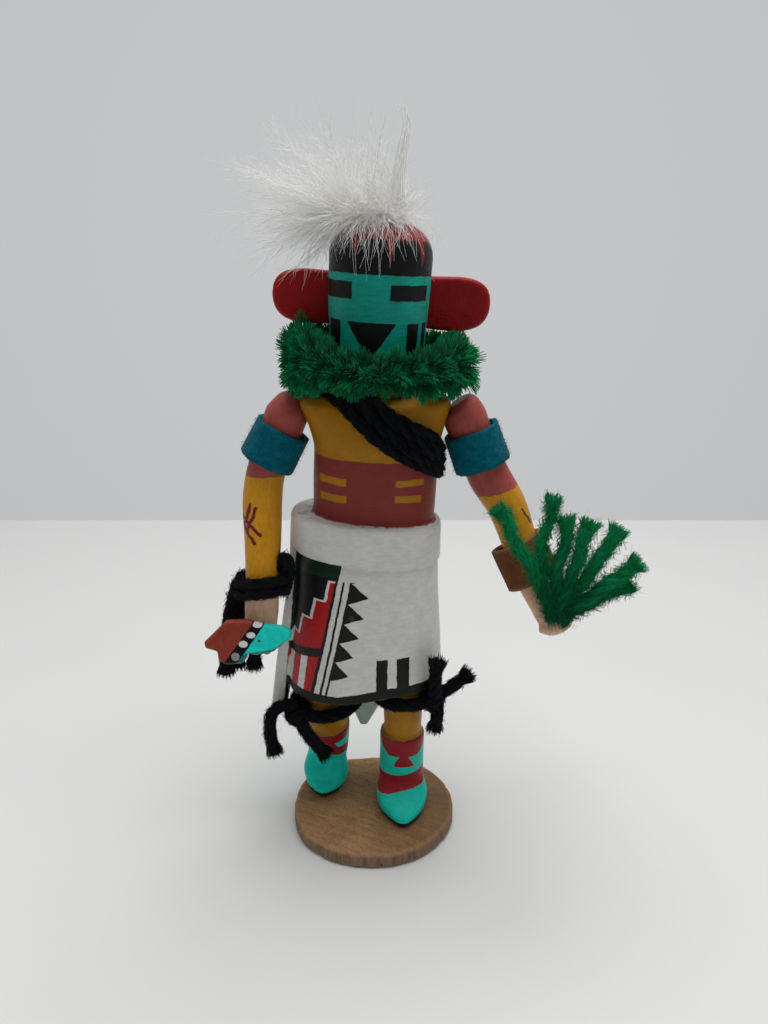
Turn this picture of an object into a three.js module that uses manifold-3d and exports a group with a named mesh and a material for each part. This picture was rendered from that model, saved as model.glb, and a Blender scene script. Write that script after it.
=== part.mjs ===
// A carved and painted wooden dancer doll, 152 mm to the crown of its head, on a slice of wood.
// Millimetres, +Z up. The doll faces -Y and the origin is the middle of the base's underside.
// Left and right are the viewer's: left is -X.
import * as THREE from "three";
import { mergeVertices } from "three/addons/utils/BufferGeometryUtils.js";
import Module from "manifold-3d";

const wasm = await Module();
wasm.setup();

// Driving sizes
const gap = 0.3; // air between pieces that touch
const baseWide = 21.7; // half width of the wood slice
const baseDeep = 19.2; // half depth
const baseThick = 4.2;
const ground = baseThick + gap; // the soles stand here
const axisY = 5; // the body stands behind the middle of the base

const hemZ = 40;
const beltLowZ = 77.3;
const beltTopZ = 87;
const torsoTopZ = 115.8;
const beltLean = 0.075; // the belt rises towards the left hip
const neckRadius = 4.6;

const headRadius = 11.1;
const headLowZ = 120.6;
const headTopZ = 152;
const headX = 1.4;
const headRoll = THREE.MathUtils.degToRad(3.1); // the right side hangs lower
const headTurn = THREE.MathUtils.degToRad(-9); // the face looks a little to the left
const earLong = 13.7; // past the side of the head
const earTall = 12;
const earThick = 4;

const ruffRadius = 17.6; // to the middle of the roll
const ruffThick = 5.3;
const ruffZ = 123;

const yarnRadius = 1.9;
const feltThick = 1.1;
const bandTall = 9;
const leatherThick = 1;

// Geometry helpers
function vec(x, y, z) {
  return new THREE.Vector3(x, y, z);
}

// Turns a closed geometry into a solid that can be joined and cut.
function solid(geometry) {
  const bare = geometry.clone();
  bare.deleteAttribute("normal");
  bare.deleteAttribute("uv");
  const whole = mergeVertices(bare, 1e-3);
  const vertProperties = new Float32Array(whole.attributes.position.array);
  const triVerts = new Uint32Array(whole.index.array);
  return new wasm.Manifold(new wasm.Mesh({ numProp: 3, vertProperties, triVerts }));
}

function joined(...geometries) {
  return geometries.map(solid).reduce((whole, piece) => whole.add(piece));
}

// Turns a solid back into a geometry for a mesh.
function geometryOf(body) {
  const mesh = body.getMesh();
  const geometry = new THREE.BufferGeometry();
  geometry.setAttribute("position", new THREE.BufferAttribute(new Float32Array(mesh.vertProperties), 3));
  geometry.setIndex(new THREE.BufferAttribute(new Uint32Array(mesh.triVerts), 1));
  geometry.computeVertexNormals();
  return geometry;
}

// Squares off a circle: power 2 is an ellipse, larger powers near a box.
function squared(value, power) {
  return Math.sign(value) * Math.abs(value) ** (2 / power);
}

// A closed shape swept through stations of { at, wide, deep, power }. Level shapes keep their
// sections horizontal, and the others stay square to the line through the stations.
function swept(stations, { sides = 20, levels = 20, level = false, lean = 0, facing = vec(0, -1, 0) } = {}) {
  const line = new THREE.CatmullRomCurve3(stations.map((s) => vec(...s.at)));
  const girth = new THREE.CatmullRomCurve3(stations.map((s) => vec(s.wide, s.deep, s.power ?? 2)));
  const geometry = new THREE.CylinderGeometry(1, 1, 1, sides, levels);
  const position = geometry.attributes.position;
  for (let i = 0; i < position.count; i += 1) {
    const t = THREE.MathUtils.clamp(position.getY(i) + 0.5, 0, 1);
    const middle = line.getPoint(t);
    const size = girth.getPoint(t);
    const along = level ? vec(0, 0, 1) : line.getTangent(t);
    const side = level ? vec(1, 0, 0) : facing.clone().cross(along).normalize();
    const front = along.clone().cross(side);
    const across = size.x * squared(position.getX(i), size.z);
    const forth = size.y * squared(-position.getZ(i), size.z);
    middle.addScaledVector(side, across).addScaledVector(front, forth);
    middle.z -= lean * across;
    position.setXYZ(i, middle.x, middle.y, middle.z);
  }
  return geometry;
}

// A round strand of yarn along a curve through points, with blunt ends.
function strand(points, radius = yarnRadius, steps = 4, sides = 6) {
  const outline = new THREE.Shape();
  outline.absarc(0, 0, radius, 0, 2 * Math.PI, false);
  const extrudePath = new THREE.CatmullRomCurve3(points);
  return new THREE.ExtrudeGeometry(outline, { extrudePath, steps, curveSegments: sides / 2 });
}

// A ring wound on an oval limb: across and forth are the oval's half sizes at the yarn's middle.
function wound(centre, along, across, forth, radius) {
  const ring = new THREE.TorusGeometry(1, 0.5, 6, 12);
  const position = ring.attributes.position;
  for (let i = 0; i < position.count; i += 1) {
    const x = position.getX(i);
    const y = position.getY(i);
    const out = Math.hypot(x, y);
    const swell = ((out - 1) / 0.5) * radius;
    const height = (position.getZ(i) / 0.5) * radius;
    position.setXYZ(i, (x / out) * (across + swell), (y / out) * (forth + swell), height);
  }
  const turn = new THREE.Quaternion().setFromUnitVectors(vec(0, 0, 1), along.clone().normalize());
  return ring.applyQuaternion(turn).translate(centre.x, centre.y, centre.z);
}

// A strip bent round an oval limb, as a ring with a rectangular section.
function cuff(centre, along, across, forth, thick, tall, flare = 0) {
  const half = tall / 2;
  const profile = [
    new THREE.Vector2(1, -half),
    new THREE.Vector2(2, -half),
    new THREE.Vector2(2, half),
    new THREE.Vector2(1, half),
    new THREE.Vector2(1, -half),
  ];
  const ring = new THREE.LatheGeometry(profile, 24);
  const position = ring.attributes.position;
  for (let i = 0; i < position.count; i += 1) {
    const x = position.getX(i);
    const z = position.getZ(i);
    const out = Math.hypot(x, z);
    const y = position.getY(i);
    const swell = (out - 1) * thick + flare * (0.5 - y / tall);
    position.setXYZ(i, (x / out) * (across + swell), -(z / out) * (forth + swell), y);
  }
  const turn = new THREE.Quaternion().setFromUnitVectors(vec(0, 0, 1), along.clone().normalize());
  return ring.applyQuaternion(turn).translate(centre.x, centre.y, centre.z);
}

// Base: an uneven oval with softened edges
const baseOutline = new THREE.Shape();
const baseCorners = 36;
for (let i = 0; i < baseCorners; i += 1) {
  const a = (i / baseCorners) * 2 * Math.PI;
  const uneven = 1 + 0.008 * Math.sin(3 * a + 0.6) + 0.006 * Math.sin(5 * a + 2);
  const x = (baseWide - 0.5) * squared(Math.cos(a), 2.15) * uneven;
  const y = (baseDeep - 0.5) * squared(Math.sin(a), 2.15) * uneven;
  if (i === 0) {
    baseOutline.moveTo(x, y);
  } else {
    baseOutline.lineTo(x, y);
  }
}
const bevel = { bevelEnabled: true, bevelThickness: 0.5, bevelSize: 0.5, bevelSegments: 1 };
const base = new THREE.ExtrudeGeometry(baseOutline, { depth: baseThick - 1, ...bevel }).translate(0, 0, 0.5);

// Torso: a tapering trunk with flat shoulders, leaning a little to the right
const torsoStations = [
  { at: [0.3, axisY, 82], wide: 14.2, deep: 9.3, power: 2.3 },
  { at: [0.6, axisY, 88], wide: 14.6, deep: 9.3, power: 2.3 },
  { at: [0.9, axisY, 96], wide: 14.7, deep: 9.7, power: 2.3 },
  { at: [1.3, axisY, 104], wide: 14.7, deep: 10, power: 2.4 },
  { at: [1.3, axisY, 109], wide: 15.8, deep: 9.7, power: 2.5 },
  { at: [0.9, axisY, torsoTopZ - 1.6], wide: 17.5, deep: 8.2, power: 2.6 },
  { at: [0.8, axisY, torsoTopZ], wide: 16, deep: 6.2, power: 2.6 },
];
const torso = swept(torsoStations, { sides: 24, levels: 9, level: true });
const neckTall = headLowZ - gap - torsoTopZ + 4;
const neck = new THREE.CylinderGeometry(neckRadius, neckRadius + 1, neckTall, 12)
  .rotateX(Math.PI / 2)
  .translate(2, axisY, headLowZ - gap - neckTall / 2);

// Belt: a broad band standing out from the waist, higher at the left hip
const beltStations = [
  { at: [-1.1, axisY, beltLowZ], wide: 17.2, deep: 11.6, power: 2.2 },
  { at: [-1.2, axisY, beltLowZ + 1], wide: 18, deep: 12.3, power: 2.2 },
  { at: [-1.3, axisY, (beltLowZ + beltTopZ) / 2], wide: 18.2, deep: 12.4, power: 2.2 },
  { at: [-1.3, axisY, beltTopZ - 1], wide: 18.2, deep: 12.2, power: 2.2 },
  { at: [-1.2, axisY, beltTopZ], wide: 17.5, deep: 11.6, power: 2.2 },
];
const belt = swept(beltStations, { sides: 26, levels: 5, level: true, lean: beltLean });

// Kilt: a solid carved skirt, wider at the hem
const kiltStations = [
  { at: [-0.6, axisY, beltLowZ + 2.5], wide: 17.1, deep: 11.5, power: 2.2 },
  { at: [-0.9, axisY, 68], wide: 17.5, deep: 12, power: 2.2 },
  { at: [-1.4, axisY, 54], wide: 18.9, deep: 12.7, power: 2.2 },
  { at: [-1.9, axisY, hemZ], wide: 20.1, deep: 13.2, power: 2.2 },
];
const kiltFull = swept(kiltStations.reverse(), { sides: 26, levels: 4, level: true });

// The kilt's hem is cut higher towards the right.
const hemSlant = new THREE.Shape();
hemSlant.moveTo(-9, hemZ - 4);
hemSlant.lineTo(-8.5, hemZ);
hemSlant.lineTo(4, hemZ + 2.5);
hemSlant.lineTo(13, hemZ + 2.7);
hemSlant.lineTo(40, hemZ + 2);
hemSlant.lineTo(40, hemZ - 4);
const hemCut = new THREE.ExtrudeGeometry(hemSlant, { depth: 60, bevelEnabled: false })
  .rotateX(Math.PI / 2)
  .translate(0, 35, 0);
const kilt = solid(kiltFull).subtract(solid(hemCut));

// Hip sash: a plank carved with the belt that swings clear of the kilt at the left
const hipSash = swept(
  [
    { at: [-17.4, 7.4, 85], wide: 2.4, deep: 4.6, power: 5 },
    { at: [-18.4, 7.6, 74], wide: 2.2, deep: 4.6, power: 5 },
    { at: [-20.6, 7.8, 60], wide: 2.1, deep: 4.9, power: 5 },
    { at: [-23, 7.9, 46], wide: 2.1, deep: 5.2, power: 5 },
    { at: [-24.9, 8, 33], wide: 2.1, deep: 5.4, power: 5 },
  ],
  { sides: 12, levels: 5 },
);

// Back sash: a tab behind the kilt whose point shows between the legs
const backSash = swept(
  [
    { at: [-1.2, 16.6, 80], wide: 5.6, deep: 1.8, power: 4 },
    { at: [-1.6, 17.6, 58], wide: 5.6, deep: 1.7, power: 4 },
    { at: [-1.8, 18.2, 38], wide: 5.6, deep: 1.5, power: 4 },
    { at: [-2.2, 18, 28], wide: 4.9, deep: 1.4, power: 4 },
    { at: [-2.5, 17.7, 23.4], wide: 3.9, deep: 1.3, power: 4 },
    { at: [-2.9, 17.3, 17.2], wide: 1.1, deep: 1, power: 4 },
  ],
  { sides: 12, levels: 7 },
);

// Legs: the right one straight, the left one bent in a dance step with the heel raised
const legLeftStations = [
  { at: [-11.6, 4.2, 47], wide: 6, deep: 5.8 },
  { at: [-12, 5, 36], wide: 5.9, deep: 5.6 },
  { at: [-12.3, 7.4, 26], wide: 5.2, deep: 5 },
  { at: [-12.5, 9.6, 17], wide: 5, deep: 4.6 },
];
const legRightStations = [
  { at: [7.8, 3, 47], wide: 5.6, deep: 5.6 },
  { at: [8, 2.8, 34], wide: 5.2, deep: 5.2 },
  { at: [8, 2.6, 24], wide: 4.8, deep: 4.8 },
  { at: [7.9, 2.6, 14], wide: 4.8, deep: 4.8 },
];
const legs = [legLeftStations, legRightStations].map((stations) => swept(stations, { sides: 12, levels: 4 }));

// Boots: a shaft that is wider than the leg, and a foot with a pointed toe
const bootLeftShaft = swept(
  [
    { at: [-12.35, 7.4, 25.2], wide: 5.9, deep: 5.6 },
    { at: [-12.4, 8.5, 21.5], wide: 5.8, deep: 5.5 },
    { at: [-12.6, 10.6, 14], wide: 5.3, deep: 4.9 },
    { at: [-12.6, 11.2, 11], wide: 4.6, deep: 4.2 },
  ],
  { sides: 14, levels: 3 },
);
const bootRightShaft = swept(
  [
    { at: [7.9, 2.6, 26], wide: 5.9, deep: 5.9 },
    { at: [7.8, 2.6, 20], wide: 5.9, deep: 5.8 },
    { at: [7.7, 2.8, 13], wide: 6, deep: 5.6 },
    { at: [7.6, 3, 8], wide: 5.8, deep: 5.4 },
  ],
  { sides: 14, levels: 3 },
);

// A foot from heel to toe; the sole is flat and tilts with the raised heel.
function foot(centre, heelRaise, scale, lookX, toeShare) {
  const slices = [
    { back: 6.6, wide: 2.6, tall: 4.5 },
    { back: 5.2, wide: 4.6, tall: 7.6 },
    { back: 1, wide: 5.6, tall: 10.4 },
    { back: -3.6, wide: 6.6, tall: 8.4 },
    { back: -8, wide: 5.2, tall: 5.6 },
    { back: -11, wide: 2.7, tall: 3.8 },
    { back: -12.4, wide: 0.8, tall: 2.4 },
  ];
  const stations = slices.map(({ back, wide, tall }) => {
    const lift = heelRaise * Math.max(0, back + 7) / 13.6;
    const z = ground - 0.7 + lift + (tall * scale) / 2;
    const y = centre.y + back * scale * (back < 0 ? toeShare : 1);
    const at = [centre.x + lookX * (back - 6.6), y, z];
    return { at, wide: wide * scale, deep: (tall * scale) / 2, power: 2.6 };
  });
  return swept(stations, { sides: 14, levels: 8, facing: vec(0, 0, 1) });
}
const feet = [
  foot(vec(-12.8, 10.8, 0), 4.2, 0.95, 0.05, 0.82),
  foot(vec(7.5, 2.6, 0), 0, 1.04, -0.03, 1),
];

// The soles and the toes are trimmed flat at the ground.
const underfoot = new THREE.BoxGeometry(80, 80, 10).translate(0, 0, ground - 5);
const upperBody = [torso, neck, belt, hipSash, backSash];
const lowerBody = [...legs, bootLeftShaft, bootRightShaft, ...feet];
const bodySolid = joined(...upperBody, ...lowerBody).add(kilt).subtract(solid(underfoot));

// Head: a round block with a domed crown, tilted and turned on the neck
const headTall = headTopZ - headLowZ;
const headProfile = [new THREE.Vector2(0, 0), new THREE.Vector2(headRadius - 1.2, 0)];
headProfile.push(new THREE.Vector2(headRadius - 0.5, 0.8), new THREE.Vector2(headRadius, headTall * 0.55));
const domeStart = headTall - 6.6;
for (let i = 0; i <= 5; i += 1) {
  const a = (i / 5) * (Math.PI / 2);
  const out = headRadius - 6.6 + 6.6 * Math.cos(a) + 0.1;
  headProfile.push(new THREE.Vector2(i === 5 ? 0 : out, domeStart + 6.6 * Math.sin(a) + (i === 5 ? 0.4 : 0)));
}
function placeOnNeck(geometry) {
  return geometry.rotateZ(headTurn).rotateY(headRoll).translate(headX - 0.4, axisY, headLowZ + 0.4);
}
const headBlock = new THREE.LatheGeometry(headProfile, 32).rotateX(Math.PI / 2);
const headSolid = solid(placeOnNeck(headBlock));

// Ears: tongue-shaped boards whose inner ends follow the round of the head
const roomRadius = headRadius + gap + 0.1;
const headRoom = new THREE.CylinderGeometry(roomRadius, roomRadius, 60, 32).rotateX(Math.PI / 2);
const headRoomSolid = solid(placeOnNeck(headRoom));
function earBoard(side, grow) {
  const half = earTall / 2;
  const tip = headRadius + earLong;
  const tongue = new THREE.Shape();
  tongue.moveTo(side * 6, -half + 0.6);
  tongue.lineTo(side * 16, -half);
  tongue.bezierCurveTo(side * (tip - 3), -half, side * tip, -half * 0.7, side * tip, 0.4);
  tongue.bezierCurveTo(side * tip, half * 0.9, side * (tip - 4), half, side * 17, half);
  tongue.lineTo(side * 6, half - 0.4);
  const edge = { bevelThickness: 0.5, bevelSize: 0.5, bevelOffset: grow - 0.5, bevelSegments: 1 };
  const depth = earThick - 1 + 2 * grow;
  const board = new THREE.ExtrudeGeometry(tongue, { depth, curveSegments: 7, ...edge })
    .rotateX(Math.PI / 2)
    .translate(0, 6 + earThick / 2 + grow, 15.2)
    .rotateY(headRoll)
    .translate(headX - 0.4 + 0.6, axisY, headLowZ + 0.4);
  return solid(board);
}
const earLeftSolid = earBoard(-1, 0).subtract(headRoomSolid);
const earRightSolid = earBoard(1, 0).subtract(headRoomSolid);

// Arms: carved with their hands, flat where they are glued to the shoulders
const armLeftStations = [
  { at: [-17.2, axisY, 115.8], wide: 1.4, deep: 2 },
  { at: [-18.4, axisY, 114.2], wide: 3.4, deep: 4 },
  { at: [-19.6, axisY, 111], wide: 5, deep: 5.2 },
  { at: [-21.2, axisY, 107], wide: 4.9, deep: 5.1 },
  { at: [-23.2, 4.8, 102.4], wide: 4.6, deep: 4.8 },
  { at: [-25.2, 4.4, 96.6], wide: 4.6, deep: 4.7 },
  { at: [-26, 3.2, 91], wide: 4.7, deep: 4.7 },
  { at: [-26, 0.4, 82], wide: 4.4, deep: 4.2 },
  { at: [-26.1, -3.6, 71.4], wide: 3.9, deep: 3.4, power: 2.4 },
  { at: [-26.3, -5.2, 66], wide: 4, deep: 2.9, power: 2.8 },
  { at: [-26.6, -6.6, 60], wide: 3.4, deep: 2.3, power: 2.8 },
  { at: [-26.8, -7.4, 56.6], wide: 1.6, deep: 1.2, power: 2.8 },
];
const armRightStations = [
  { at: [20, axisY, 114.2], wide: 2.6, deep: 3 },
  { at: [20.8, axisY, 113.1], wide: 4.3, deep: 4.6 },
  { at: [21.8, axisY, 110.4], wide: 5.1, deep: 5.2 },
  { at: [23.6, axisY, 106], wide: 4.9, deep: 5 },
  { at: [25.4, 4.8, 102], wide: 4.7, deep: 4.8 },
  { at: [27.9, 4.4, 96.4], wide: 5, deep: 4.9 },
  { at: [32.2, 3, 89.6], wide: 4.7, deep: 4.6 },
  { at: [35.6, 0.6, 80.8], wide: 4.2, deep: 4 },
  { at: [38.6, -2.2, 71.4], wide: 3.4, deep: 3.5, power: 2.4 },
  { at: [40.6, -3.8, 66.6], wide: 2.6, deep: 3.8, power: 2.8 },
  { at: [42, -4.9, 63.6], wide: 2.4, deep: 3.8, power: 2.8 },
  { at: [42.6, -5.4, 61.8], wide: 1.3, deep: 2.6, power: 2.8 },
];
const armLeft = swept(armLeftStations, { sides: 14, levels: 16 });
const armRight = swept(armRightStations, { sides: 14, levels: 16 });
// The right hand's fingers curl up round the sprig.
const fingers = swept(
  [
    { at: [40.4, -6, 62.2], wide: 1.5, deep: 2.6, power: 2.6 },
    { at: [43.2, -6.8, 62.4], wide: 1.8, deep: 3.2, power: 2.6 },
    { at: [45.8, -7.6, 64], wide: 1.6, deep: 2.8, power: 2.6 },
    { at: [47.2, -8, 65.6], wide: 0.8, deep: 1.6, power: 2.6 },
  ],
  { sides: 10, levels: 5 },
);
// Room that the torso takes, a gap wider than the trunk itself.
const torsoRoom = solid(
  swept(
    torsoStations.map((s) => ({ ...s, wide: s.wide + gap, deep: s.deep + gap })),
    { sides: 24, levels: 9, level: true },
  ),
);
const armLeftSolid = solid(armLeft).subtract(torsoRoom);
const armRightSolid = solid(armRight).add(solid(fingers)).subtract(torsoRoom);

// A point of an arm's line, with its direction, size and share of the length.
function armAt(stations, share) {
  const line = new THREE.CatmullRomCurve3(stations.map((s) => vec(...s.at)));
  const girth = new THREE.CatmullRomCurve3(stations.map((s) => vec(s.wide, s.deep, 0)));
  return { at: line.getPoint(share), along: line.getTangent(share).negate(), size: girth.getPoint(share) };
}

// Armbands: felt strips round the upper arms
function armband(stations, share, askew) {
  const { at, along, size } = armAt(stations, share);
  along.applyAxisAngle(vec(0, 1, 0), askew);
  return cuff(at, along, size.x + 0.8, size.y + 0.7, feltThick, bandTall);
}
const armbandLeft = armband(armLeftStations, 0.335, 0.08);
const armbandRight = armband(armRightStations, 0.335, 0.06);

// Wristband: a leather strip that stands off a little towards the hand
const wrist = armAt(armRightStations, 0.69);
const wristband = cuff(wrist.at, wrist.along, wrist.size.x + 0.9, wrist.size.y + 0.9, leatherThick, 10.4, 0.5);

// Wrist tie: yarn wound twice, with a loop behind and cut tails at the left
const tiePlace = armAt(armLeftStations, 0.728);
const tieOut = yarnRadius + gap + 0.15;
function tieTurn(shift, radius) {
  const at = tiePlace.at.clone().addScaledVector(tiePlace.along, shift);
  return wound(at, tiePlace.along, tiePlace.size.x + tieOut, tiePlace.size.y + tieOut, radius);
}
const wristTieSolid = joined(
  tieTurn(1.3, yarnRadius),
  tieTurn(-1.5, yarnRadius),
  new THREE.SphereGeometry(2.4, 8, 6).translate(-19.2, -3.4, 77.3),
  strand([vec(-20.4, -3.4, 69.6), vec(-19.4, -3.6, 73), vec(-19.2, -3.4, 77)], 1.7, 3),
  strand([vec(-27, 2, 71), vec(-31.6, 1, 71.6), vec(-34.6, -1, 64), vec(-36.2, -2.4, 55), vec(-36.6, -3, 47)]),
  strand([vec(-27, 2, 69), vec(-31, 2, 67), vec(-33, 1.8, 58), vec(-33.4, 1.2, 46.6)]),
  strand([vec(-26, 2, 69), vec(-27.6, 2.6, 63), vec(-28.4, 2, 55), vec(-29, 1.6, 46.4)]),
);

// Dance wand: a carved plate with notched ends, leaning back against the front of the hand
const wandOutline = new THREE.Shape();
const wandPoints = [
  [-5.2, 5],
  [-10.3, 0],
  [-10, -1.4],
  [-7.2, -2.2],
  [-6.9, -4],
  [-5.2, -5.2],
  [-1.4, -5],
  [0, -3.2],
  [4.6, -3],
  [6, -2.2],
  [9.8, 0.8],
  [9.9, 2.6],
  [8.4, 3.6],
  [2.6, 4.4],
  [-0.6, 5.2],
];
wandPoints.forEach(([x, y], i) => (i === 0 ? wandOutline.moveTo(x, y) : wandOutline.lineTo(x, y)));
const wandEdge = { bevelThickness: 0.9, bevelSize: 0.7, bevelOffset: -0.7, bevelSegments: 2 };
const wandTilt = THREE.MathUtils.degToRad(68);
const wandBlock = new THREE.ExtrudeGeometry(wandOutline, { depth: 2, ...wandEdge })
  .rotateX(wandTilt)
  .translate(-28.6, -10.6, 60.4);
const wandRoom = solid(swept(
  armLeftStations.map((s) => ({ ...s, wide: s.wide + gap, deep: s.deep + gap })),
  { sides: 14, levels: 16 },
));
const wandSolid = solid(wandBlock).subtract(wandRoom);

// Evergreen sprig: yarn pieces that fan out of the right hand
const sprigRoot = vec(43.2, -11, 67.4);
const sprigStrands = [
  { middle: [35.6, -11.8, 80], tip: [28, -9.6, 93.6] },
  { middle: [38.4, -11, 82], tip: [40.4, -9, 95.4] },
  { middle: [42.6, -11.8, 78], tip: [44, -8.6, 91] },
  { middle: [45.2, -12, 77.4], tip: [48.4, -10.4, 89.6] },
  { middle: [49.6, -10.6, 77.4], tip: [56.6, -8.4, 87.4] },
  { middle: [52, -11.8, 73.6], tip: [61, -10.4, 80.6] },
  { middle: [51.4, -9.8, 70.4], tip: [60.2, -7.4, 73.8] },
];
const sprigRoom = solid(swept(
  armRightStations.map((s) => ({ ...s, wide: s.wide + gap, deep: s.deep + gap })),
  { sides: 14, levels: 16 },
)).add(solid(fingers));
function sprigStrand({ middle, tip }, i) {
  const start = sprigRoot.clone().add(vec((i - 3) * 0.3, ((i % 3) - 1) * 0.7, 0));
  return strand([start, vec(...middle), vec(...tip)], yarnRadius, 4);
}
const sprigSolid = joined(...sprigStrands.map(sprigStrand));

// Neck ruff: a lumpy roll of wool round the neck
const ruff = new THREE.TorusGeometry(ruffRadius, ruffThick, 8, 28);
const ruffPosition = ruff.attributes.position;
for (let i = 0; i < ruffPosition.count; i += 1) {
  const x = ruffPosition.getX(i);
  const y = ruffPosition.getY(i);
  const a = Math.atan2(y, x);
  const side = Math.cos(a) ** 2;
  const behind = Math.max(0, Math.sin(a)) ** 2;
  const taller = x < 0 ? 0.52 * side : 0.2 * side; // the left side stands higher and hangs lower
  const raised = x < 0 ? 0.8 * side : 1.6 * side;
  const lump = 1 - 0.05 * (1 + Math.sin(9 * a + 1) * Math.cos(4 * a));
  const radius = ruffRadius - 0.8 * behind + (Math.hypot(x, y) - ruffRadius) * lump;
  const z = ruffPosition.getZ(i);
  const thinner = z < 0 ? 0.2 * Math.max(0, -Math.sin(a)) ** 2 : 0; // the front is flatter below
  const height = z * lump * (1 + taller - thinner) + raised + 0.4 * behind;
  ruffPosition.setXYZ(i, Math.cos(a) * radius, Math.sin(a) * radius, height);
}
ruff.rotateY(headRoll).translate(headX + 0.2, axisY - 0.7, ruffZ);
// The ears press into the wool.
const ruffSolid = solid(ruff).subtract(earBoard(-1, gap)).subtract(earBoard(1, gap));

// Bandolier: yarn strands side by side in a slanting loop, from under the ruff at the left of
// the neck, across the chest, under the right arm and up the back. Each row is a point of the
// loop and the direction that its outer side faces.
const bandoRows = [
  [-7.6, 5, 118, -0.2, 0, 1],
  [-5, -2.2, 117.6, -0.2, -0.7, 0.9],
  [0.4, -6.4, 113.2, 0, -1, 0.25],
  [6.4, -7.1, 108.2, 0.1, -1, 0],
  [12.6, -5.9, 103.2, 0.4, -1, 0],
  [16.5, -1, 99.4, 1, -0.6, 0],
  [17.2, 5, 98.6, 1, 0, 0],
  [16.4, 11.2, 99.4, 1, 0.6, 0],
  [12.2, 16, 103.4, 0.4, 1, 0],
  [6, 17.1, 108.4, 0.1, 1, 0],
  [0, 16.3, 113.4, 0, 1, 0.25],
  [-5.2, 12.2, 117.6, -0.2, 0.7, 0.9],
];
const bandoWide = 4; // half width of the strands together
const bandoThick = 1.1;
const bandoLine = new THREE.CatmullRomCurve3(bandoRows.map(([x, y, z]) => vec(x, y, z)), true);
const bandoOut = new THREE.CatmullRomCurve3(bandoRows.map(([, , , x, y, z]) => vec(x, y, z)), true);
const bando = new THREE.TorusGeometry(1, 0.5, 6, 32);
const bandoPosition = bando.attributes.position;
for (let i = 0; i < bandoPosition.count; i += 1) {
  const x = bandoPosition.getX(i);
  const y = bandoPosition.getY(i);
  const turn = (Math.atan2(y, x) / (2 * Math.PI) + 1) % 1;
  const along = bandoLine.getTangent(turn);
  const wide = bandoOut.getPoint(turn).cross(along).normalize();
  const out = along.clone().cross(wide);
  const place = bandoLine.getPoint(turn);
  place.addScaledVector(out, ((Math.hypot(x, y) - 1) / 0.5) * bandoThick);
  place.addScaledVector(wide, (bandoPosition.getZ(i) / 0.5) * bandoWide);
  bandoPosition.setXYZ(i, place.x, place.y, place.z);
}

// Leg ties: yarn wound once below the knee, a knot and cut tails
function legTie(centre, along, across, forth, knot, tails) {
  const ring = wound(centre, along, across + tieOut, forth + tieOut, yarnRadius);
  const lump = new THREE.SphereGeometry(yarnRadius * 1.35, 8, 6).translate(knot.x, knot.y, knot.z);
  return joined(ring, lump, ...tails.map((points) => strand(points, yarnRadius * 0.95, 4)));
}
const legTieLeftSolid = legTie(
  vec(-12.1, 5.4, 34.4),
  vec(-0.1, -0.1, 1),
  6.1,
  5.9,
  vec(-19.6, 0.2, 33.4),
  [
    [vec(-19.6, 0, 33.6), vec(-22, -2.4, 37), vec(-25.4, -3, 35.4), vec(-26.6, -3, 29), vec(-25.6, -3.2, 23)],
    [vec(-19.4, 0, 33), vec(-17.6, -2.6, 29.4), vec(-14.4, -3.4, 25.2), vec(-12, -3.6, 22.4)],
  ],
);
const legTieRightSolid = legTie(
  vec(8, 2.8, 38.6),
  vec(0.05, 0, 1),
  5.6,
  5.6,
  vec(15.6, -1.6, 38.8),
  [
    [vec(15.6, -1.8, 39), vec(15.8, -5.4, 43), vec(15.6, -7.2, 48), vec(16, -7.6, 53)],
    [vec(15.6, -1.8, 39), vec(18.4, -2.2, 41), vec(21.8, -2.6, 44), vec(24.4, -3, 46.6)],
    [vec(15.4, -1.8, 39), vec(15.9, -3, 35.8), vec(15.2, -3.4, 32), vec(15.2, -3.6, 28.8)],
  ],
);

// Feather tuft: a loose mass of down over the crown, mostly to the left, with long wisps
function plume(tip, wide, bend) {
  const root = vec(headX - 2.2, axisY, headTopZ + 5);
  const middle = root.clone().lerp(tip, 0.5).add(bend);
  const line = [root, middle, tip];
  const widths = [0.7, 1, 0.16];
  const stations = line.map((p, i) => ({ at: p.toArray(), wide: wide * widths[i], deep: wide * widths[i] }));
  return swept(stations, { sides: 6, levels: 3 });
}
function downMass(x, y, z, wide, deep, tall, tilt) {
  return new THREE.SphereGeometry(1, 12, 7)
    .scale(wide, deep, tall)
    .rotateY(THREE.MathUtils.degToRad(tilt))
    .translate(x, y, z);
}
const crownRoom = new THREE.LatheGeometry(
  headProfile.map(({ x, y }) => new THREE.Vector2(x === 0 ? 0 : x + 0.4, y + (x === 0 && y > 1 ? 0.5 : 0.3))),
  20,
).rotateX(Math.PI / 2);
const tuftSolid = joined(
  downMass(-8, 6, 158.4, 14.6, 10.6, 7.6, 14),
  downMass(7, 4, 154.6, 9.4, 10, 4.6, 10),
  plume(vec(8.6, 5, 176), 1.6, vec(2.6, 0, 0)),
  plume(vec(-2, 7, 171), 4.4, vec(0, 0, 1)),
  plume(vec(-16, 3, 169), 4.4, vec(0, 0, 2)),
  plume(vec(-27, 5, 167), 3.4, vec(0, 0, 1)),
  plume(vec(-29, 4, 152), 3.6, vec(0, 0, 2)),
  plume(vec(-19, -3, 146.4), 3.2, vec(-3, -2, 3)),
  plume(vec(17, 2, 147), 2.4, vec(3, 0, 3)),
).subtract(solid(placeOnNeck(crownRoom)));

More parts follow.
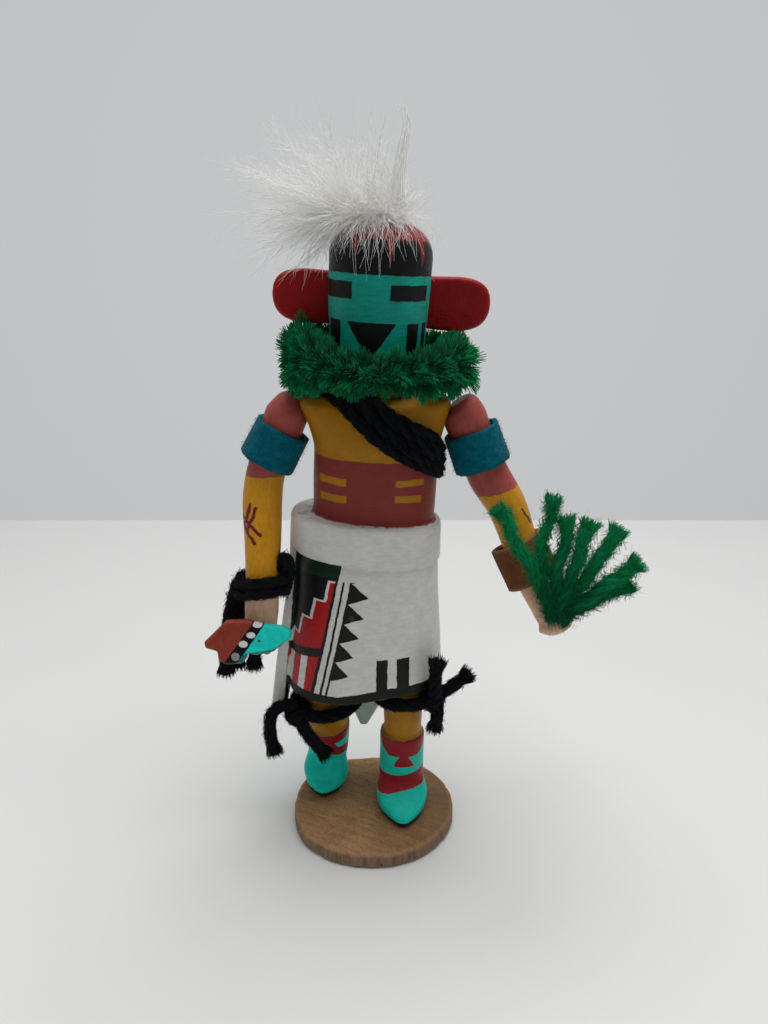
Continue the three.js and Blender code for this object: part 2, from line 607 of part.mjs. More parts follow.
// Named pieces
const wood = { roughness: 0.6, metalness: 0 };
const yarn = { roughness: 0.95, metalness: 0 };
const doll = new THREE.Group();
doll.name = "kachina_doll";
function piece(name, shape, color, finish) {
  const geometry = shape instanceof THREE.BufferGeometry ? shape : geometryOf(shape);
  const mesh = new THREE.Mesh(geometry, new THREE.MeshStandardMaterial({ color, ...finish }));
  mesh.name = name;
  doll.add(mesh);
}
piece("base", base, 0x6b4a33, wood);
piece("body", bodySolid, 0xb9b2a6, wood);
piece("head", headSolid, 0x1f9c8e, wood);
piece("ear_left", earLeftSolid, 0x8a1410, wood);
piece("ear_right", earRightSolid, 0x8a1410, wood);
piece("feather_tuft", tuftSolid, 0xf2ece0, yarn);
piece("neck_ruff", ruffSolid, 0x0b6a3c, yarn);
piece("bandolier", bando, 0x121214, yarn);
piece("arm_left", armLeftSolid, 0xa87a1c, wood);
piece("arm_right", armRightSolid, 0xa87a1c, wood);
piece("armband_left", armbandLeft, 0x0a6270, yarn);
piece("armband_right", armbandRight, 0x0a6270, yarn);
piece("wrist_tie", wristTieSolid, 0x121214, yarn);
piece("wristband", wristband, 0x5a3826, { roughness: 0.8, metalness: 0 });
piece("dance_wand", wandSolid, 0x7a3528, wood);
piece("evergreen_sprig", sprigSolid.subtract(sprigRoom), 0x0f6b3a, yarn);
piece("leg_tie_left", legTieLeftSolid, 0x121214, yarn);
piece("leg_tie_right", legTieRightSolid, 0x121214, yarn);

export default doll;
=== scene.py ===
import math
import random

import bmesh
import bpy
from mathutils import Matrix, Vector, noise


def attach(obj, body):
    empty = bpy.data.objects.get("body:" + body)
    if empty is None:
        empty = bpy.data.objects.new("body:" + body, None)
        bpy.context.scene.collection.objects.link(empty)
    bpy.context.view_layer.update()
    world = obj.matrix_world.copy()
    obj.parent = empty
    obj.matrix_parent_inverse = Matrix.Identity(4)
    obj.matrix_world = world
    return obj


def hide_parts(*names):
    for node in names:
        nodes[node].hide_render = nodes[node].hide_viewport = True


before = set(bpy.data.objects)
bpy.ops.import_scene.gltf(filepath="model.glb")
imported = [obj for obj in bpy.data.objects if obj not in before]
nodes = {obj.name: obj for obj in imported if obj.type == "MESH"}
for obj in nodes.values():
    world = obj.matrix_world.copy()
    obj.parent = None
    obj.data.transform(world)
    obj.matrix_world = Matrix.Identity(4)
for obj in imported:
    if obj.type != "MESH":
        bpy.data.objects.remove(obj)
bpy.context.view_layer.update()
chance = random.Random(11)
noise.seed_set(11)  # noise vectors are drawn from the clock otherwise
mm = Matrix.Scale(0.001, 4)  # shapes are made in millimetres
degrees = 180 / math.pi
print("frame loaded")


def linear(value):
    value /= 255.0
    return value / 12.92 if value <= 0.04045 else ((value + 0.055) / 1.055) ** 2.4


def rgb(red, green, blue):
    return (linear(red), linear(green), linear(blue), 1.0)


paints = {
    "ochre": rgb(178, 122, 12),
    "armOchre": rgb(212, 148, 28),
    "brick": rgb(136, 50, 44),
    "rose": rgb(170, 80, 72),
    "white": rgb(222, 221, 217),
    "tabGrey": rgb(226, 225, 222),
    "black": rgb(6, 7, 9),
    "turquoise": rgb(4, 168, 150),
    "deepTurquoise": rgb(4, 136, 122),
    "wandTurquoise": rgb(22, 214, 202),
    "bootTurquoise": rgb(6, 198, 178),
    "scarlet": rgb(180, 14, 22),
    "panelGreen": rgb(2, 42, 22),
    "bootRed": rgb(146, 22, 30),
    "earRed": rgb(146, 6, 10),
    "capRed": rgb(140, 38, 32),
    "markRed": rgb(118, 28, 32),
    "handTan": rgb(230, 186, 154),
    "wandRed": rgb(140, 56, 42),
    "beadGrey": rgb(150, 152, 150),
    "bareWood": rgb(150, 116, 84),
    "sole": rgb(14, 26, 26),
}


# shader numbers
class Term:
    def __init__(self, tree, socket):
        self.tree = tree
        self.socket = socket

    def maths(self, kind, *others, clamp=False):
        made = self.tree.nodes.new("ShaderNodeMath")
        made.operation = kind
        made.use_clamp = clamp
        for slot, value in zip(made.inputs, (self, *others)):
            if isinstance(value, Term):
                self.tree.links.new(value.socket, slot)
            else:
                slot.default_value = value
        return Term(self.tree, made.outputs[0])

    def __add__(self, other):
        return self.maths("ADD", other)

    def __sub__(self, other):
        return self.maths("SUBTRACT", other)

    def __mul__(self, other):
        return self.maths("MULTIPLY", other)

    def __rsub__(self, other):
        return self.maths("MULTIPLY_ADD", -1.0, other)

    def above(self, level, soft=0.16):  # 1 above the level, 0 below it
        if isinstance(level, Term):
            return (self - level).maths("MULTIPLY_ADD", 1 / soft, 0.5, clamp=True)
        return self.maths("MULTIPLY_ADD", 1 / soft, 0.5 - level / soft, clamp=True)

    def below(self, level, soft=0.16):
        if isinstance(level, Term):
            return (level - self).maths("MULTIPLY_ADD", 1 / soft, 0.5, clamp=True)
        return self.maths("MULTIPLY_ADD", -1 / soft, 0.5 + level / soft, clamp=True)

    def within(self, low, high, soft=0.16):
        return self.above(low, soft) * self.below(high, soft)

    def either(self, other):
        return self.maths("MAXIMUM", other)

    def size(self):
        return self.maths("ABSOLUTE")


def node(tree, kind, inputs=None, **settings):
    made = tree.nodes.new("ShaderNode" + kind)
    for name, value in settings.items():
        setattr(made, name, value)
    for name, value in (inputs or {}).items():
        slot = made.inputs[name]
        if isinstance(value, Term):
            tree.links.new(value.socket, slot)
        elif isinstance(value, bpy.types.NodeSocket):
            tree.links.new(value, slot)
        else:
            slot.default_value = value
    return made


def blendColour(tree, factor, first, second):
    made = node(tree, "Mix", {0: factor, 6: first, 7: second}, data_type="RGBA")
    return made.outputs[2]


def speckle(tree, place, scale, detail, rough=0.5):
    made = node(tree, "TexNoise", {"Vector": place, "Scale": scale, "Detail": detail, "Roughness": rough})
    return Term(tree, made.outputs["Fac"])


def stretched(tree, place, factors):
    return node(tree, "VectorMath", {0: place, 1: factors}, operation="MULTIPLY").outputs[0]


def edgeOf(tree):
    return Term(tree, node(tree, "NewGeometry").outputs["Pointiness"])


def newGroup(name, takes, gives):
    group = bpy.data.node_groups.new(name, "ShaderNodeTree")
    for title, kind in takes.items():
        group.interface.new_socket(title, in_out="INPUT", socket_type="NodeSocket" + kind)
    for title, kind in gives.items():
        group.interface.new_socket(title, in_out="OUTPUT", socket_type="NodeSocket" + kind)
    source = group.nodes.new("NodeGroupInput")
    target = group.nodes.new("NodeGroupOutput")
    return group, source.outputs, target.inputs


def handBrushedPaint():
    takes = {"Colour": "Color", "Place": "Vector", "Stroke": "Vector", "Streak": "Float", "Wear": "Float"}
    gives = {"Colour": "Color", "Roughness": "Float", "Height": "Float"}
    group, taken, given = newGroup("handBrushedPaint", takes, gives)
    stroke = speckle(group, stretched(group, taken["Place"], taken["Stroke"]), 1.0, 4.0, 0.65)
    fine = speckle(group, stretched(group, taken["Place"], (4.5, 4.5, 0.3)), 1.0, 3.0, 0.6)
    patch = speckle(group, taken["Place"], 0.22, 4.0, 0.6)
    value = (stroke - 0.5) * Term(group, taken["Streak"]) + patch.maths("MULTIPLY_ADD", 0.24, 0.78)
    value = value + fine * 0.1
    toned = node(group, "HueSaturation", {"Value": value, "Color": taken["Colour"]})
    # worn edges, patchy, show the wood below
    worn = edgeOf(group).within(0.545, 0.9, 0.05) * patch.above(0.5, 0.2) * Term(group, taken["Wear"])
    pits = fine.below(0.27, 0.05) * patch.above(0.54, 0.08) * Term(group, taken["Wear"])
    bare = worn.either(pits * 0.55)
    shown = blendColour(group, bare, toned.outputs["Color"], paints["bareWood"])
    rough = stroke.maths("MULTIPLY_ADD", 0.3, 0.2) + bare * 0.3
    height = stroke * 0.5 + fine * 0.5 - pits * 0.5
    group.links.new(shown, given["Colour"])
    group.links.new(rough.socket, given["Roughness"])
    group.links.new(height.socket, given["Height"])
    return group


def woolFibre():
    takes = {"Colour": "Color", "Place": "Vector", "Shade": "Float"}
    group, taken, given = newGroup("woolFibre", takes, {"Colour": "Color", "Roughness": "Float"})
    lump = speckle(group, taken["Place"], 0.42, 3.0)
    hair = speckle(group, taken["Place"], 3.2, 2.0)
    value = lump.maths("MULTIPLY_ADD", 0.9, 0.2) + hair.maths("MULTIPLY_ADD", 0.6, 0.1)
    # Shade scales the colour down: painted shade, where a piece gives it
    value = value * Term(group, taken["Shade"])
    toned = node(group, "HueSaturation", {"Value": value, "Color": taken["Colour"]})
    rough = hair.maths("MULTIPLY_ADD", 0.2, 0.75)
    group.links.new(toned.outputs["Color"], given["Colour"])
    group.links.new(rough.socket, given["Roughness"])
    return group


paintGroup = handBrushedPaint()
woolGroup = woolFibre()


class Finish:
    def __init__(self, name, ground, wobble=0.4):
        self.material = bpy.data.materials.new(name)
        self.material.use_nodes = True
        self.tree = self.material.node_tree
        self.shader = self.tree.nodes["Principled BSDF"]
        spot = node(self.tree, "TexCoord").outputs["Object"]
        self.place = stretched(self.tree, spot, (1000.0,) * 3)  # in millimetres
        # painted edges wander a little, as a brush does
        shake = node(self.tree, "TexNoise", {"Vector": self.place, "Scale": 0.55, "Detail": 2.0})
        half = {0: shake.outputs["Color"], 1: (0.5,) * 3}
        shift = node(self.tree, "VectorMath", half, operation="SUBTRACT")
        drift = {0: shift.outputs[0], 1: (wobble,) * 3, 2: self.place}
        moved = node(self.tree, "VectorMath", drift, operation="MULTIPLY_ADD")
        parts = node(self.tree, "SeparateXYZ", {0: moved.outputs[0]})
        self.x, self.y, self.z = (Term(self.tree, s) for s in parts.outputs)
        self.colour = ground

    def layer(self, mask, colour):
        self.colour = blendColour(self.tree, mask, self.colour, colour)

    def mark(self, start, end, half, front):  # a brush mark between two (x, z) points
        (ax, az), (bx, bz) = start, end
        dx, dz = bx - ax, bz - az
        long = dx * dx + dz * dz
        share = ((self.x - ax) * (dx / long) + (self.z - az) * (dz / long)).maths("MULTIPLY", 1.0, clamp=True)
        offX = self.x - ax - share * dx
        offZ = self.z - az - share * dz
        far = (offX * offX + offZ * offZ).maths("SQRT")
        return far.below(half, 0.2) * front

    def paint(self, stroke=(0.4, 0.4, 1.7), wear=0.5, streak=0.56, depth=0.00035):
        group = node(self.tree, "Group", node_tree=paintGroup)
        slot = group.inputs["Colour"]
        if isinstance(self.colour, tuple):
            slot.default_value = self.colour
        else:
            self.tree.links.new(self.colour, slot)
        self.tree.links.new(self.place, group.inputs["Place"])
        group.inputs["Stroke"].default_value = stroke
        group.inputs["Streak"].default_value = streak
        group.inputs["Wear"].default_value = wear
        relief = {"Strength": 0.8, "Distance": depth, "Height": group.outputs["Height"]}
        bump = node(self.tree, "Bump", relief)
        self.tree.links.new(group.outputs["Colour"], self.shader.inputs["Base Color"])
        self.tree.links.new(group.outputs["Roughness"], self.shader.inputs["Roughness"])
        self.tree.links.new(bump.outputs["Normal"], self.shader.inputs["Normal"])
        self.shader.inputs["Specular IOR Level"].default_value = 0.2
        return self.material

    def wool(self, shade=1.0, sheen=0.25):
        group = node(self.tree, "Group", node_tree=woolGroup)
        if isinstance(self.colour, tuple):
            group.inputs["Colour"].default_value = self.colour
        else:
            self.tree.links.new(self.colour, group.inputs["Colour"])
        self.tree.links.new(self.place, group.inputs["Place"])
        if isinstance(shade, Term):
            self.tree.links.new(shade.socket, group.inputs["Shade"])
        else:
            group.inputs["Shade"].default_value = shade
        self.tree.links.new(group.outputs["Colour"], self.shader.inputs["Base Color"])
        self.tree.links.new(group.outputs["Roughness"], self.shader.inputs["Roughness"])
        self.shader.inputs["Specular IOR Level"].default_value = 0.04
        self.shader.inputs["Sheen Weight"].default_value = sheen
        return self.material


# shapes
def curvePoint(points, share):  # a smooth line through points of any size
    last = len(points) - 1
    spot = min(max(share, 0.0), 1.0) * last
    i = min(int(spot), last - 1)
    f = spot - i
    b, c = points[i], points[i + 1]
    a = points[i - 1] if i > 0 else b * 2 - c
    d = points[i + 2] if i + 2 <= last else c * 2 - b
    gaps = [math.sqrt((q - p).length) for p, q in ((a, b), (b, c), (c, d))]
    middle = gaps[1] if gaps[1] > 1e-4 else 1.0
    first = gaps[0] if gaps[0] > 1e-4 else middle
    third = gaps[2] if gaps[2] > 1e-4 else middle
    into = ((b - a) / first - (c - a) / (first + middle) + (c - b) / middle) * middle
    out = ((c - b) / middle - (d - b) / (middle + third) + (d - c) / third) * middle
    return b + into * f + (c * 3 - b * 3 - into * 2 - out) * f * f + (b * 2 - c * 2 + into + out) * f ** 3


def curveAlong(points, share):
    low, high = max(share - 0.002, 0.0), min(share + 0.002, 1.0)
    return (curvePoint(points, high) - curvePoint(points, low)).normalized()


def sampled(points, step):
    points = [Vector(p) for p in points]
    long = sum((b - a).length for a, b in zip(points, points[1:]))
    count = max(3, round(long / step))
    return [curvePoint(points, i / count) for i in range(count + 1)]


def squared(value, power):
    return math.copysign(abs(value) ** (2 / power), value)


# a limb or trunk: an oval section carried through rows of (x, y, z), half width, half depth, squareness
def addSweep(whole, rows, sides=56, levels=48, level=False, lean=0.0, facing=(0, -1, 0), least=None):
    line = [Vector(row[0]) for row in rows]
    girth = [Vector((row[1], row[2], row[3] if len(row) > 3 else 2.0)) for row in rows]
    bm = bmesh.new()
    bmesh.ops.create_cone(bm, cap_ends=True, segments=sides, radius1=1, radius2=1, depth=1)
    upright = [e for e in bm.edges if abs(e.verts[0].co.z - e.verts[1].co.z) > 0.5]
    bmesh.ops.subdivide_edges(bm, edges=upright, cuts=levels - 1, use_grid_fill=True)
    stations = {}
    for v in bm.verts:
        share = round(v.co.z + 0.5, 5)
        if share not in stations:
            along = Vector((0, 0, 1)) if level else curveAlong(line, share)
            side = Vector((1, 0, 0)) if level else Vector(facing).cross(along).normalized()
            stations[share] = (curvePoint(line, share), curvePoint(girth, share), side, along.cross(side))
        middle, size, side, front = stations[share]
        across = size.x * squared(v.co.x, size.z)
        forth = size.y * squared(v.co.y, size.z)
        v.co = middle + side * across + front * forth
        v.co.z -= lean * across
        if least:
            v.co.z = max(v.co.z, least(v.co.x))
    part = bpy.data.meshes.new("part")
    bm.to_mesh(part)
    bm.free()
    whole.from_mesh(part)
    bpy.data.meshes.remove(part)


def finished(name, mesh, node, material, smooth=True):
    piece = bpy.data.objects.new(name, mesh)
    bpy.context.scene.collection.objects.link(piece)
    mesh.materials.clear()
    mesh.materials.append(material)
    mesh.polygons.foreach_set("use_smooth", [smooth] * len(mesh.polygons))
    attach(piece, "root")
    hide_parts(node)
    mesh.calc_loop_triangles()
    print(name, len(mesh.loop_triangles), "triangles")
    return piece


# one skin over joined shapes, with softly worn edges
def oneSkin(bm, voxel, rounds):
    bmesh.ops.recalc_face_normals(bm, faces=bm.faces)
    mesh = bpy.data.meshes.new("skin")
    bm.to_mesh(mesh)
    bm.free()
    mesh.transform(mm)
    holder = bpy.data.objects.new("skin", mesh)
    bpy.context.scene.collection.objects.link(holder)
    cover = holder.modifiers.new("cover", "REMESH")
    cover.mode = "VOXEL"
    cover.voxel_size = voxel * 0.001
    soften = holder.modifiers.new("soften", "SMOOTH")
    soften.factor = 0.5
    soften.iterations = rounds
    graph = bpy.context.evaluated_depsgraph_get()
    skin = bpy.data.meshes.new_from_object(holder.evaluated_get(graph))
    bpy.data.objects.remove(holder)
    return skin


def copyOf(name):  # a merged copy of a solid, in millimetres
    bm = bmesh.new()
    bm.from_mesh(nodes[name].data)
    bmesh.ops.scale(bm, vec=(1000, 1000, 1000), verts=bm.verts)
    bmesh.ops.remove_doubles(bm, verts=bm.verts, dist=0.002)
    return bm


# round strands: lines of (point, radius)
threeSided = bpy.data.objects.new("threeSided", bpy.data.curves.new("threeSided", "CURVE"))
bpy.context.scene.collection.objects.link(threeSided)
profile = threeSided.data.splines.new("POLY")
profile.points.add(2)
for point, a in zip(profile.points, (0.0, 2.0944, 4.1888)):
    point.co = (0.001 * math.cos(a), 0.001 * math.sin(a), 0.0, 1.0)
profile.use_cyclic_u = True


def tubes(lines, rounder=0):
    curve = bpy.data.curves.new("strands", "CURVE")
    curve.dimensions = "3D"
    if rounder:
        curve.bevel_depth = 0.001
        curve.bevel_resolution = rounder
    else:
        curve.bevel_mode = "OBJECT"
        curve.bevel_object = threeSided
    curve.use_fill_caps = True
    for line in lines:
        spline = curve.splines.new("POLY")
        spline.points.add(len(line) - 1)
        places = [mm @ p for p, r in line]
        spline.points.foreach_set("co", [c for p in places for c in (*p, 1.0)])
        spline.points.foreach_set("radius", [r for p, r in line])
    holder = bpy.data.objects.new("strands", curve)
    bpy.context.scene.collection.objects.link(holder)
    graph = bpy.context.evaluated_depsgraph_get()
    mesh = bpy.data.meshes.new_from_object(holder.evaluated_get(graph))
    bpy.data.objects.remove(holder)
    bm = bmesh.new()
    bm.from_mesh(mesh)
    bmesh.ops.recalc_face_normals(bm, faces=bm.faces)
    bm.to_mesh(mesh)
    bm.free()
    return mesh


def together(meshes):
    bm = bmesh.new()
    for mesh in meshes:
        bm.from_mesh(mesh)
    whole = bpy.data.meshes.new("whole")
    bm.to_mesh(whole)
    bm.free()
    return whole


def anyWay():
    while True:
        way = Vector((chance.uniform(-1, 1), chance.uniform(-1, 1), chance.uniform(-1, 1)))
        if 0.05 < way.length < 1:
            return way.normalized()


def nap(start, way, long, radius):  # one short blunt fibre
    return [(start, radius), (start + way.normalized() * long, radius * 0.6)]


def hair(start, way, long, radius, bend=0.3, points=3):
    line = []
    heading = way.copy()
    spot = start.copy()
    for i in range(points):
        line.append((spot.copy(), radius * (1 - 0.85 * i / (points - 1))))
        heading = (heading + anyWay() * bend).normalized()
        spot += heading * long / (points - 1)
    return line


# yarn: plies twisted round a line, and loose hairs on it
def yarnAlong(path, radius, plies=6, twist=0.4, hairs=6.0, hairLong=1.4, closed=False,
              frayed=(), flare=0.15, fluff=0.45):
    count = len(path)
    plyLines = [[] for i in range(plies + 1)]
    fuzzLines = []
    side = None
    run = 0.0
    for i, p in enumerate(path):
        ahead = path[(i + 1) % count] if closed else path[min(i + 1, count - 1)]
        behind = path[i - 1] if closed or i else path[0]
        along = (ahead - behind).normalized()
        side = along.orthogonal() if side is None else side
        side = (side - along * side.dot(along)).normalized()
        up = along.cross(side)
        step = (ahead - p).length
        run += step
        loose = 1.0 + 0.1 * noise.noise(p * 0.35)
        if 0 in frayed:
            loose += flare * max(0.0, 1 - i / (0.2 * count)) ** 2
        if 1 in frayed:
            loose += flare * max(0.0, 1 - (count - 1 - i) / (0.2 * count)) ** 2
        for k in range(plies):
            turn = 2 * math.pi * k / plies + twist * run + 0.35 * math.sin(0.6 * run + 2 * k)
            off = (side * math.cos(turn) + up * math.sin(turn)) * radius * 0.6 * loose
            thick = radius * (0.36 + 0.3 / plies) * (1 + 0.12 * math.sin(3.1 * run + 2.1 * k))
            plyLines[k].append((p + off, thick))
        plyLines[plies].append((p, radius * 0.55))
        for h in range(int(hairs * step * loose + chance.random())):
            turn = chance.uniform(0, 2 * math.pi)
            out = side * math.cos(turn) + up * math.sin(turn)
            way = out * chance.uniform(0.0, fluff) + along * chance.choice((-1, 1))
            way += along.cross(out) * chance.uniform(-0.7, 0.7)
            start = p + out * radius * chance.uniform(0.8, 0.98) * loose + along * chance.uniform(-0.5, 0.5)
            long = hairLong * chance.uniform(0.5, 1.3)
            fuzzLines.append(nap(start, way, long, chance.uniform(0.05, 0.085)))
            if chance.random() < 0.06:  # a stray
                long = hairLong * chance.uniform(1.4, 2.6)
                fuzzLines.append(hair(start, way.normalized(), long, 0.045, 0.6, 4))
    ends = [(path[0], path[0] - path[1])] if 0 in frayed else []
    ends += [(path[-1], path[-1] - path[-2])] if 1 in frayed else []
    for tip, way in ends:
        way = way.normalized()
        for h in range(220):
            out = anyWay()
            out = (out - way * out.dot(way)) * radius * 1.15
            fuzzWay = way + out * flare * 0.4 + anyWay() * 0.3
            fuzzLines.append(nap(tip + out - way * 1.6, fuzzWay, chance.uniform(1.2, 2.7), 0.09))
    if closed:
        for line in plyLines:
            line.append(line[0])
    return plyLines, fuzzLines


def ringPath(centre, along, across, forth, step=0.8):
    turn = Vector((0, 0, 1)).rotation_difference(Vector(along).normalized()).to_matrix()
    count = round(math.pi * (across + forth) / step)
    ring = []
    for i in range(count):
        a = 2 * math.pi * i / count + math.pi / 2
        ring.append(Vector(centre) + turn @ Vector((across * math.cos(a), forth * math.sin(a), 0)))
    return ring


# base: a slice of branch wood
baseLook = {"voxel": 0.55, "grainTurn": 0.42, "chips": 0.5}


def baseMaterial():
    f = Finish("baseWood", rgb(182, 138, 90))
    turned = {"Vector": f.place, "Rotation": (0, 0, baseLook["grainTurn"])}
    along = node(f.tree, "Mapping", turned).outputs[0]
    band = speckle(f.tree, stretched(f.tree, along, (0.09, 0.75, 0.5)), 1.0, 6.0, 0.62)
    fine = speckle(f.tree, stretched(f.tree, along, (0.35, 4.5, 1.2)), 1.0, 4.0, 0.7)
    rubbed = speckle(f.tree, stretched(f.tree, along, (1.4, 5.5, 3.0)), 1.0, 5.0, 0.8)
    dirt = speckle(f.tree, f.place, 0.12, 5.0, 0.7)
    f.layer(band.above(0.54, 0.25) * 0.45, rgb(120, 86, 56))
    f.layer(band.below(0.44, 0.2) * 0.45, rgb(176, 142, 104))
    f.layer(fine.above(0.57, 0.12) * 0.35, rgb(98, 68, 44))
    f.layer(fine.below(0.38, 0.08) * 0.3, rgb(176, 142, 106))
    # sawn fuzz, dirt in patches, and a painted shadow that darkens the right side
    f.layer(rubbed.above(0.53, 0.12) * 0.42, rgb(92, 62, 38))
    f.layer(rubbed.below(0.43, 0.1) * 0.5, rgb(190, 152, 108))
    f.layer(dirt.above(0.52, 0.2) * 0.35, rgb(90, 62, 38))
    # painted shadow: the right side of the top is darkened
    f.layer(f.x.above(9.0, 24.0) * 0.55, rgb(88, 62, 42))
    # the sawn rim is greyer, with upright marks, and its upper edge is rubbed pale
    rim = f.z.below(3.5, 0.5)
    around = f.x.maths("ARCTAN2", f.y) * 18.0
    upright = node(f.tree, "CombineXYZ", {0: around, 1: f.z * 0.12})
    marks = speckle(f.tree, upright.outputs[0], 1.2, 4.0)
    f.layer(rim * 0.75, rgb(134, 112, 92))
    f.layer(rim * marks.above(0.54, 0.16) * 0.6, rgb(92, 72, 56))
    f.layer(edgeOf(f.tree).above(0.54, 0.06) * 0.5, rgb(178, 146, 112))
    pores = node(f.tree, "TexVoronoi", {"Vector": f.place, "Scale": 0.16})
    f.layer(Term(f.tree, pores.outputs["Distance"]).below(0.07, 0.03) * 0.8, rgb(44, 28, 18))
    bump = node(f.tree, "Bump", {"Strength": 0.8, "Distance": 0.0004, "Height": fine * 0.4 + rubbed * 0.6})
    f.tree.links.new(f.colour, f.shader.inputs["Base Color"])
    rough = fine.maths("MULTIPLY_ADD", 0.25, 0.5)
    f.tree.links.new(rough.socket, f.shader.inputs["Roughness"])
    f.tree.links.new(bump.outputs["Normal"], f.shader.inputs["Normal"])
    f.shader.inputs["Specular IOR Level"].default_value = 0.3
    return f.material


def baseMesh():
    mesh = oneSkin(copyOf("base"), baseLook["voxel"], 2)
    for v in mesh.vertices:  # the sawn rim is chipped
        p = v.co * 1000
        rim = min(max((Vector((p.x / 17.0, p.y / 17.0)).length - 0.8) * 6, 0), 1)
        chip = max(0.0, noise.noise(Vector((p.x * 0.33, p.y * 0.33, p.z * 0.1)))) * baseLook["chips"] * rim
        v.co.x *= 1 - chip * 0.05
        v.co.y *= 1 - chip * 0.05
    return mesh


finished("baseSlice", baseMesh(), "base", baseMaterial())

# body: trunk, belt with hip sash, kilt, back sash, legs and boots from one block
bodyShape = {
    "voxel": 0.5,
    "rounds": 2,
    "torso": [
        ((0.3, 5, 82), 14.2, 9.3, 2.3), ((0.6, 5, 88), 14.6, 9.3, 2.3), ((0.9, 5, 96), 14.7, 9.7, 2.3),
        ((1.3, 5, 104), 14.7, 10, 2.4), ((1.3, 5, 109), 15.8, 9.7, 2.5), ((0.9, 5, 114.2), 17.5, 8.2, 2.6),
        ((0.8, 5, 115.8), 16, 6.2, 2.6),
    ],
    "neck": [((2, 5, 113), 5.5, 5.5), ((2, 5, 120.3), 4.6, 4.6)],
    "belt": [
        ((-1.1, 5, 77.3), 17.9, 12.2, 2.2), ((-1.2, 5, 77.9), 18.1, 12.4, 2.2),
        ((-1.3, 5, 82.1), 18.2, 12.4, 2.2), ((-1.3, 5, 86), 18.2, 12.2, 2.2),
        ((-1.2, 5, 87), 17.5, 11.6, 2.2),
    ],
    "kilt": [
        ((-1.9, 5, 40), 20.1, 13.2, 2.2), ((-1.4, 5, 54), 18.9, 12.7, 2.2), ((-0.9, 5, 68), 17.5, 12, 2.2),
        ((-0.7, 5, 75.4), 17.0, 11.4, 2.2), ((-0.6, 5, 79.8), 15.4, 10, 2.2),
    ],
    "hipSash": [
        ((-17.4, 7.4, 85), 2.4, 4.6, 5), ((-18.4, 7.6, 74), 2.2, 4.6, 5), ((-20.6, 7.8, 60), 2.1, 4.9, 5),
        ((-23, 7.9, 46), 2.1, 5.2, 5), ((-24.9, 8, 33), 2.1, 5.4, 5),
    ],
    "backSash": [
        ((-1.2, 16.6, 80), 5.6, 1.8, 4), ((-1.6, 17.6, 58), 5.6, 1.7, 4), ((-1.8, 18.2, 38), 5.6, 1.5, 4),
        ((-2.2, 18, 28), 4.9, 1.4, 4), ((-2.5, 17.7, 23.4), 3.9, 1.3, 4), ((-2.9, 17.3, 17.2), 1.1, 1, 4),
    ],
    "legs": [
        [((-11.6, 4.2, 47), 6, 5.8), ((-12, 5, 36), 5.9, 5.6), ((-12.3, 7.4, 26), 5.2, 5),
         ((-12.5, 9.6, 17), 5, 4.6)],
        [((7.8, 3, 47), 5.6, 5.6), ((8, 2.8, 34), 5.2, 5.2), ((8, 2.6, 24), 4.8, 4.8),
         ((7.9, 2.6, 14), 4.8, 4.8)],
    ],
    "shafts": [
        [((-12.35, 7.4, 25.2), 5.9, 5.6), ((-12.4, 8.5, 21.5), 5.8, 5.5), ((-12.6, 10.6, 14), 5.3, 4.9),
         ((-12.6, 11.2, 11), 4.6, 4.2)],
        [((7.9, 2.6, 26), 5.9, 5.9), ((7.8, 2.6, 20), 5.9, 5.8), ((7.7, 2.8, 13), 6, 5.6),
         ((7.6, 3, 8), 5.8, 5.4)],
    ],
    "feet": [((-12.8, 10.8), 4.2, 0.95, 0.05, 0.82), ((7.5, 2.6), 0, 1.04, -0.03, 1)],
    # heel to toe: distance behind the middle, half width, height
    "footSlices": [
        (6.6, 2.6, 4.5), (5.2, 4.6, 7.6), (1, 5.6, 10.4), (-3.6, 6.6, 8.4), (-8, 5.2, 5.6), (-11, 2.7, 3.8),
        (-12.4, 0.8, 2.4),
    ],
    "ground": 4.5,
}


def hemAt(x):
    return 40 + 2.5 * min(max((x + 8.5) / 12.5, 0), 1)


def bodyMesh():
    bm = bmesh.new()
    shape = bodyShape
    addSweep(bm, shape["torso"], 72, 60, level=True)
    addSweep(bm, shape["neck"], 40, 10, level=True)
    addSweep(bm, shape["belt"], 72, 40, level=True, lean=0.075)
    addSweep(bm, shape["kilt"], 72, 60, level=True, least=hemAt)
    addSweep(bm, shape["hipSash"], 40, 40)
    addSweep(bm, shape["backSash"], 40, 48)
    for rows in shape["legs"] + shape["shafts"]:
        addSweep(bm, rows, 48, 40)
    for (cx, cy), raised, scale, look, toes in shape["feet"]:
        rows = []
        for back, wide, tall in shape["footSlices"]:
            lift = raised * max(0, back + 7) / 13.6
            z = shape["ground"] - 0.7 + lift + tall * scale / 2
            y = cy + back * scale * (toes if back < 0 else 1)
            rows.append(((cx + look * (back - 6.6), y, z), wide * scale, tall * scale / 2, 3.4))
        addSweep(bm, rows, 48, 40, facing=(0, 0, 1), least=lambda x: shape["ground"])
    return oneSkin(bm, shape["voxel"], shape["rounds"])


